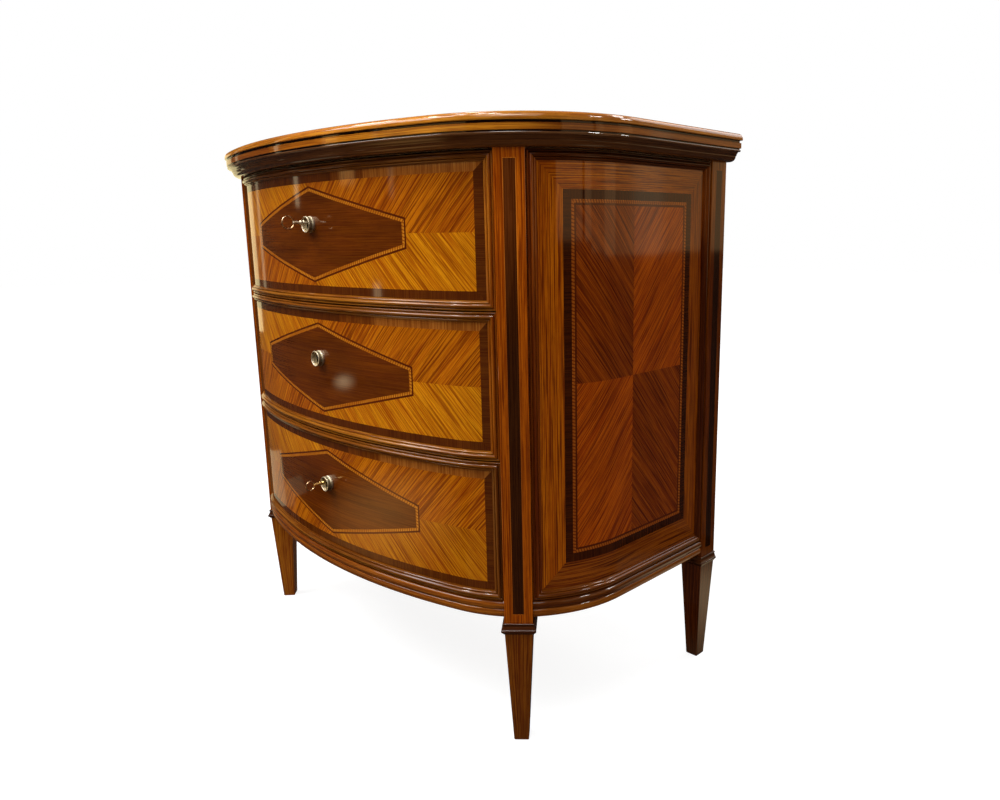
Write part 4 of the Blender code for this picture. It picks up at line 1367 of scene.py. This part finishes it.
# Turned stretches of a key, each as distances behind a mark and the radius there
bow_end_turning = ((0.0, 0.0012), (0.0005, 0.0020), (0.0030, 0.0023))
collar_turning = ((-0.0030, 0.0024), (-0.0026, 0.0020), (-0.0004, 0.0020), (0.0, 0.0029),
                  (0.0006, key_collar_radius), (0.0018, key_collar_radius), (0.0026, 0.0028),
                  (0.0044, 0.0026), (0.0052, 0.0031), (0.0058, key_collar_radius))
stand_turning = ((-0.0006, key_collar_radius), (0.0, 0.0028), (0.0003, key_stem_radius))
tip_turning = ((-0.0004, key_stem_radius), (0.0, key_stem_radius - 0.0004))
bow_sink = 0.0004
bit_ward_start, bit_ward_end, bit_ward_height = 0.0026, 0.0018, 0.0022
bit_end_gap = 0.0003


def keyhole_reach(angle):
    """Distance from the lock's middle to the keyhole's edge, at an angle from straight down."""
    half = keyhole_slot_width / 2
    slot = keyhole_slot_drop / max(math.cos(angle), hair)
    if abs(math.sin(angle)) > hair:
        slot = min(slot, half / abs(math.sin(angle)))
    return max(keyhole_radius, slot if abs(angle) < quarter_turn else 0.0)


def make_escutcheon(drawer, index):
    """A turned drum with a rolled lip and a sunk plug, which a real keyhole is bored through."""
    half = keyhole_slot_width / 2
    foot = math.atan2(half, keyhole_slot_drop)
    shoulder = math.asin(half / keyhole_radius)
    right = [0.0, foot / 2, foot, foot * 1.4, shoulder * 0.75, shoulder]
    right += [shoulder + (math.pi - shoulder) * (step + 1) / keyhole_steps
              for step in range(keyhole_steps)]
    angles = [-a for a in reversed(right[1:-1])] + right
    length = front_thickness - 2 * seat_gap
    height = lock_height(index)
    middle = height - flange_below
    dish = flange_rise - flange_dish

    def hole(rise):
        return [(keyhole_reach(a) * math.sin(a), lock_face_y - rise,
                 height - keyhole_reach(a) * math.cos(a)) for a in angles]

    def circle(radius, rise):
        return [(radius * math.sin(a), lock_face_y - rise, middle - radius * math.cos(a))
                for a in angles]

    rings = [hole(-length), hole(dish), circle(plug_share * flange_dish_radius, dish)]
    rings += [circle(flange_radius * radius, flange_rise * rise) for radius, rise in flange_outline]
    rings += [circle(flange_radius * flange_outline[-1][0], seat_gap), circle(barrel_radius, seat_gap),
              circle(barrel_radius, -length)]

    def finish(i, j):
        # The bore of the keyhole is near black: painted shade
        if i == 0:
            return "keyhole_dark"
        return "aged_plug" if i == 1 or cove_start <= i < cove_end else "aged_silver"

    shape = Shape()
    shape.loft(rings, finish, closed=True)
    shape.build("turned_escutcheon_" + drawer, "drawer_" + drawer, "silvered",
                "drawer_%s_escutcheon" % drawer)


def make_key(drawer, index, bow_radius, reach, stem_finish, slot):
    """A wire bow, a turned stem with a stout collar, and a bit with a cut."""
    height = lock_height(index)
    bow_y = lock_face_y - reach
    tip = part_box("key_" + drawer)[1].y
    shape = Shape()
    rings = []
    for step in range(bow_steps):
        around_bow = math.tau * step / bow_steps
        ring = []
        for part in range(wire_steps):
            around_wire = math.tau * part / wire_steps
            out = bow_radius - key_wire_radius + key_wire_radius * math.cos(around_wire)
            ring.append((key_wire_radius * math.sin(around_wire), bow_y + out * math.cos(around_bow),
                         height + out * math.sin(around_bow)))
        rings.append(ring)
    shape.loft(rings, "bronze_wire", closed=True, flip=True)
    bow_end = bow_y + bow_radius - 2 * key_wire_radius - bow_sink
    stand = lock_face_y - key_collar_stand
    turnings = ((bow_end, bow_end_turning), (stand - key_collar_length, collar_turning),
                (stand, stand_turning), (tip, tip_turning))
    angles = [math.tau * step / stem_steps for step in range(stem_steps)]
    rings = [[(radius * math.sin(a), mark + behind, height + radius * math.cos(a)) for a in angles]
             for mark, turning in turnings for behind, radius in turning]
    shape.loft(rings, stem_finish, flip=True)
    bit_top = height - key_stem_radius / 2
    bit_low = height - key_bit_drop
    ward_top = bit_low + bit_ward_height
    bit = [(key_bit_depth, bit_top), (key_bit_depth, bit_low), (bit_ward_start, bit_low),
           (bit_ward_start, ward_top), (bit_ward_end, ward_top), (bit_ward_end, bit_low),
           (bit_end_gap, bit_low), (bit_end_gap, bit_top)]
    shape.loft([[(side * key_bit_width / 2, tip - before, z) for before, z in bit]
                for side in (-1, 1)], stem_finish)
    shape.build("turned_key_" + drawer, "key_" + drawer, slot, "key_" + drawer)


for index, drawer in enumerate(drawers):
    make_escutcheon(drawer, index)
make_key("top", 2, key_bow_top_radius, key_top_reach, "aged_silver", "silvered")
make_key("bottom", 0, key_bow_bottom_radius, key_bottom_reach, "key_brass", "brass")


# The plain inner boards and locks keep their CAD shape

def inner_finish(name):
    """The finish of an inner piece. Pieces that run from front to back have their grain along Y."""
    if name.endswith("_lock_case"):
        return "lock_brass"
    if name.endswith("_bolt"):
        return "bolt_steel"
    if name == "back_panel":
        return "back_wood"
    if "_side_" in name or name.startswith(("runner", "partition")):
        return "inner_wood_Y"
    return "inner_wood_X"


for name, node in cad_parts.items():
    if node.hide_render:
        continue
    node.data.materials.clear()
    node.data.materials.append(finishes[inner_finish(name)])
    for polygon in node.data.polygons:
        polygon.material_index = 0


# Studio

studio_floor_reach, studio_floor_level = 14.0, -0.0004
floor_grey = (0.32, 0.32, 0.32)
floor_glow = (0.7, 2.4, 0.85, 1.0)
world_light = 0.38
lamp_target = Vector((0.0, 0.0, 0.45))


def square(half):
    return (-half, -half), (half, -half), (half, half), (-half, half)


def see_white(n):
    """White to the camera and in gloss and glass, and lit as it is for the rest."""
    path = n.add("ShaderNodeLightPath")
    seen = n.math("MAXIMUM", path.outputs["Is Camera Ray"], path.outputs["Is Glossy Ray"])
    return n.math("MAXIMUM", seen, path.outputs["Is Transmission Ray"])


def make_floor():
    mesh = bpy.data.meshes.new("studio_floor")
    mesh.from_pydata([(x, y, studio_floor_level) for x, y in square(studio_floor_reach)], [],
                     [(0, 1, 2, 3)])
    material, n, shader = new_material("pale_floor")
    shader.inputs["Base Color"].default_value = (*floor_grey, 1)
    shader.inputs["Roughness"].default_value = 0.9
    shader.inputs["Specular IOR Level"].default_value = 0.0
    shader.inputs["Emission Color"].default_value = (1, 1, 1, 1)
    glow = n.fit(n.distance(), *floor_glow)
    n.set(shader.inputs["Emission Strength"], n.math("MULTIPLY", see_white(n), glow))
    mesh.materials.append(material)
    link_object("studio_floor", mesh)


def make_world():
    world = bpy.data.worlds.new("studio_world")
    bpy.context.scene.world = world
    world.use_nodes = True
    n = Nodes(world.node_tree)
    back = world.node_tree.nodes["Background"]
    n.set(back.inputs["Color"], (1, 1, 1, 1))
    lit = n.math("MULTIPLY_ADD", see_white(n), 1 - world_light, world_light)
    n.set(back.inputs["Strength"], lit)


def around(azimuth, distance, height):
    """A place round the chest. Azimuth 0 is in front of it and 90 on its right."""
    a = math.radians(azimuth)
    return distance * math.sin(a), -distance * math.cos(a), height


def place_flat(name, points, faces, strength, colour=(1.0, 1.0, 1.0), place=(0.0, 0.0, 0.0),
               soft=0.0):
    """A flat that is seen only in the polish, with no light on the chest. A soft one fades outward."""
    mesh = bpy.data.meshes.new(name)
    mesh.from_pydata(points, [], faces)
    material, n, shader = new_material(name)
    shader.inputs["Base Color"].default_value = (0, 0, 0, 1)
    shader.inputs["Specular IOR Level"].default_value = 0.0
    shader.inputs["Emission Color"].default_value = (*colour, 1)
    shader.inputs["Emission Strength"].default_value = strength
    if soft:
        n.set(shader.inputs["Emission Strength"], n.fit(n.distance(), 0.0, soft, strength, 0.0))
    mesh.materials.append(material)
    flat = link_object(name, mesh)
    flat.location = place
    flat.visible_camera = False
    flat.visible_diffuse = False
    flat.visible_shadow = False
    flat.visible_transmission = False


def place_wall(name, start, end, low, high, distance, strength, colour=(1.0, 1.0, 1.0)):
    """A curved flat between two azimuths."""
    steps = max(2, int((end - start) / wall_step))
    points, faces = [], []
    for step in range(steps + 1):
        azimuth = start + (end - start) * step / steps
        points += [around(azimuth, distance, low), around(azimuth, distance, high)]
        if step:
            faces.append((2 * step - 2, 2 * step, 2 * step + 1, 2 * step - 1))
    place_flat(name, points, faces, strength, colour)


def place_card(name, azimuth, distance, height, size, strength, colour=(1.0, 1.0, 1.0), soft=False):
    """A level card, as a ceiling lamp or a lit place on the floor. A soft one fades to its rim."""
    half = size / 2
    place_flat(name, [(x, y, 0) for x, y in square(half)], [(0, 1, 2, 3)], strength, colour,
               around(azimuth, distance, height), half if soft else 0.0)


wall_step = 6
wall_distance, ceiling_height, room_width, room_floor_level = 4.6, 3.0, 9.4, 0.0012
window_gap, window_step, lit_floor_step, room_lamp_drop = 0.1, 0.001, 0.0004, 0.02
wall_glow, ceiling_glow, room_floor_glow = 0.02, 0.20, 0.03
cream, warm, amber = (1.0, 0.86, 0.54), (1.0, 0.76, 0.44), (1.0, 0.52, 0.16)
dusk, daylight, ceiling_cream = (1.0, 0.60, 0.28), (1.0, 0.84, 0.44), (1.0, 0.84, 0.62)

# Start and end azimuth, low and high edge, strength and colour
windows = ((-135, -91, 0.1, 1.5, 1.5, daylight), (-87, -85, 0.3, 2.4, 0.8, cream),
           (-64.2, -62.4, 0.94, 2.4, 2.0, cream), (-46, -41, 1.08, 2.4, 2.6, amber),
           (-30.5, -29, 1.0, 2.4, 1.0, cream), (-37, -34.5, 0.26, 0.42, 3.5, warm),
           (-28, 12, 1.2, 1.6, 1.6, amber), (76, 98, 0.7, 2.4, 1.2, dusk),
           (100, 106, 0.7, 2.4, 1.6, dusk), (106, 119, 0.62, 2.4, 0.9, dusk),
           (119, 131, 0.60, 2.4, 1.5, dusk), (131, 138.2, 0.60, 2.4, 0.8, dusk),
           (138.2, 140.6, 0.60, 2.4, 1.1, warm), (140.6, 180, 0.62, 2.4, 0.9, dusk),
           (141.2, 142.2, 0.62, 2.4, 1.1, warm))

# Azimuth, distance, size, strength and colour, and whether it is soft
lit_floor = ((-92, 1.25, 0.62, 0.55, cream, False), (-70, 1.12, 0.26, 0.22, cream, False),
             (-24, 1.02, 1.15, 1.9, amber, True), (-48, 2.98, 0.60, 4.0, warm, True),
             (128, 0.68, 0.60, 1.0, warm, True))

# Azimuth, distance, size and strength
room_lamps = ((-64, 2.0, 0.60, 14), (-40, 1.45, 0.26, 60), (-15, 1.0, 0.22, 60),
              (10, 0.9, 0.22, 60), (25, 0.8, 0.24, 60), (-15, 1.95, 0.70, 16), (40, 2.4, 1.0, 12),
              (108, 2.8, 0.45, 60), (132, 3.8, 0.6, 60), (148, 2.0, 0.35, 40),
              (176, 1.9, 0.30, 25), (-120, 1.3, 0.4, 20))


def make_room():
    """A dim room with windows, a lit floor and ceiling lamps that stands round the chest."""
    place_wall("room_wall", -180, 180, 0.0, ceiling_height, wall_distance, wall_glow)
    place_card("room_ceiling", 0, 0, ceiling_height, room_width, ceiling_glow, ceiling_cream)
    place_card("room_floor", 0, 0, room_floor_level, room_width, room_floor_glow)
    for number, (start, end, low, high, strength, colour) in enumerate(windows):
        distance = wall_distance - window_gap - window_step * number
        place_wall("room_window_%d" % number, start, end, low, high, distance, strength, colour)
    for number, (azimuth, distance, size, strength, colour, soft) in enumerate(lit_floor):
        level = room_floor_level + lit_floor_step * (number + 1)
        place_card("lit_floor_%d" % number, azimuth, distance, level, size, strength, colour, soft)
    for number, (azimuth, distance, size, strength) in enumerate(room_lamps):
        level = ceiling_height - room_lamp_drop
        place_card("room_lamp_%d" % number, azimuth, distance, level, size, strength)


def lamp(name, azimuth, elevation, distance, size, power):
    """A soft square lamp that looks at the chest, from an azimuth as in around."""
    light = bpy.data.lights.new(name, "AREA")
    light.shape = "RECTANGLE"
    light.size = size
    light.size_y = size
    light.energy = power
    piece = link_object(name, light)
    a, e = math.radians(azimuth), math.radians(elevation)
    way = Vector((math.sin(a) * math.cos(e), -math.cos(a) * math.cos(e), math.sin(e)))
    piece.location = lamp_target + way * distance
    piece.rotation_euler = way.to_track_quat("Z", "Y").to_euler()


camera_yaw, camera_tilt, camera_roll = 43.9496, -11.7513, -0.6657
camera_right, camera_front, camera_height = 1.10287, 1.10532, 0.72946
sensor_width, lens = 36.0, 28.004
sideways_shift, upward_shift = -0.05106, -0.0024
nearest_seen = 0.05


def make_camera():
    """The photograph's viewpoint, found from the chest's own edges in it."""
    yaw, tilt, roll = [math.radians(angle) for angle in (camera_yaw, camera_tilt, camera_roll)]
    ahead = Vector((-math.sin(yaw) * math.cos(tilt), math.cos(yaw) * math.cos(tilt), math.sin(tilt)))
    right = Vector((math.cos(yaw), math.sin(yaw), 0.0))
    up = right.cross(ahead)
    right, up = (right * math.cos(roll) + up * math.sin(roll),
                 up * math.cos(roll) - right * math.sin(roll))
    camera = link_object("photo_camera", bpy.data.cameras.new("photo_camera"))
    camera.matrix_world = Matrix((
        (right.x, up.x, -ahead.x, camera_right), (right.y, up.y, -ahead.y, back_y - camera_front),
        (right.z, up.z, -ahead.z, camera_height), (0.0, 0.0, 0.0, 1.0)))
    camera.data.sensor_width = sensor_width
    camera.data.lens = lens
    camera.data.shift_x = sideways_shift
    camera.data.shift_y = upward_shift
    camera.data.clip_start = nearest_seen
    bpy.context.scene.camera = camera


bpy.context.scene.view_settings.view_transform = "Standard"
make_floor()
make_world()
lamp("front_key_lamp", -36, 50, 3.2, 1.8, 100)
lamp("side_fill_lamp", 42, 48, 2.6, 1.6, 19)
lamp("top_lamp", 10, 80, 2.6, 2.4, 30)
lamp("back_lamp", 165, 40, 3.4, 2.0, 40)
make_room()
make_camera()
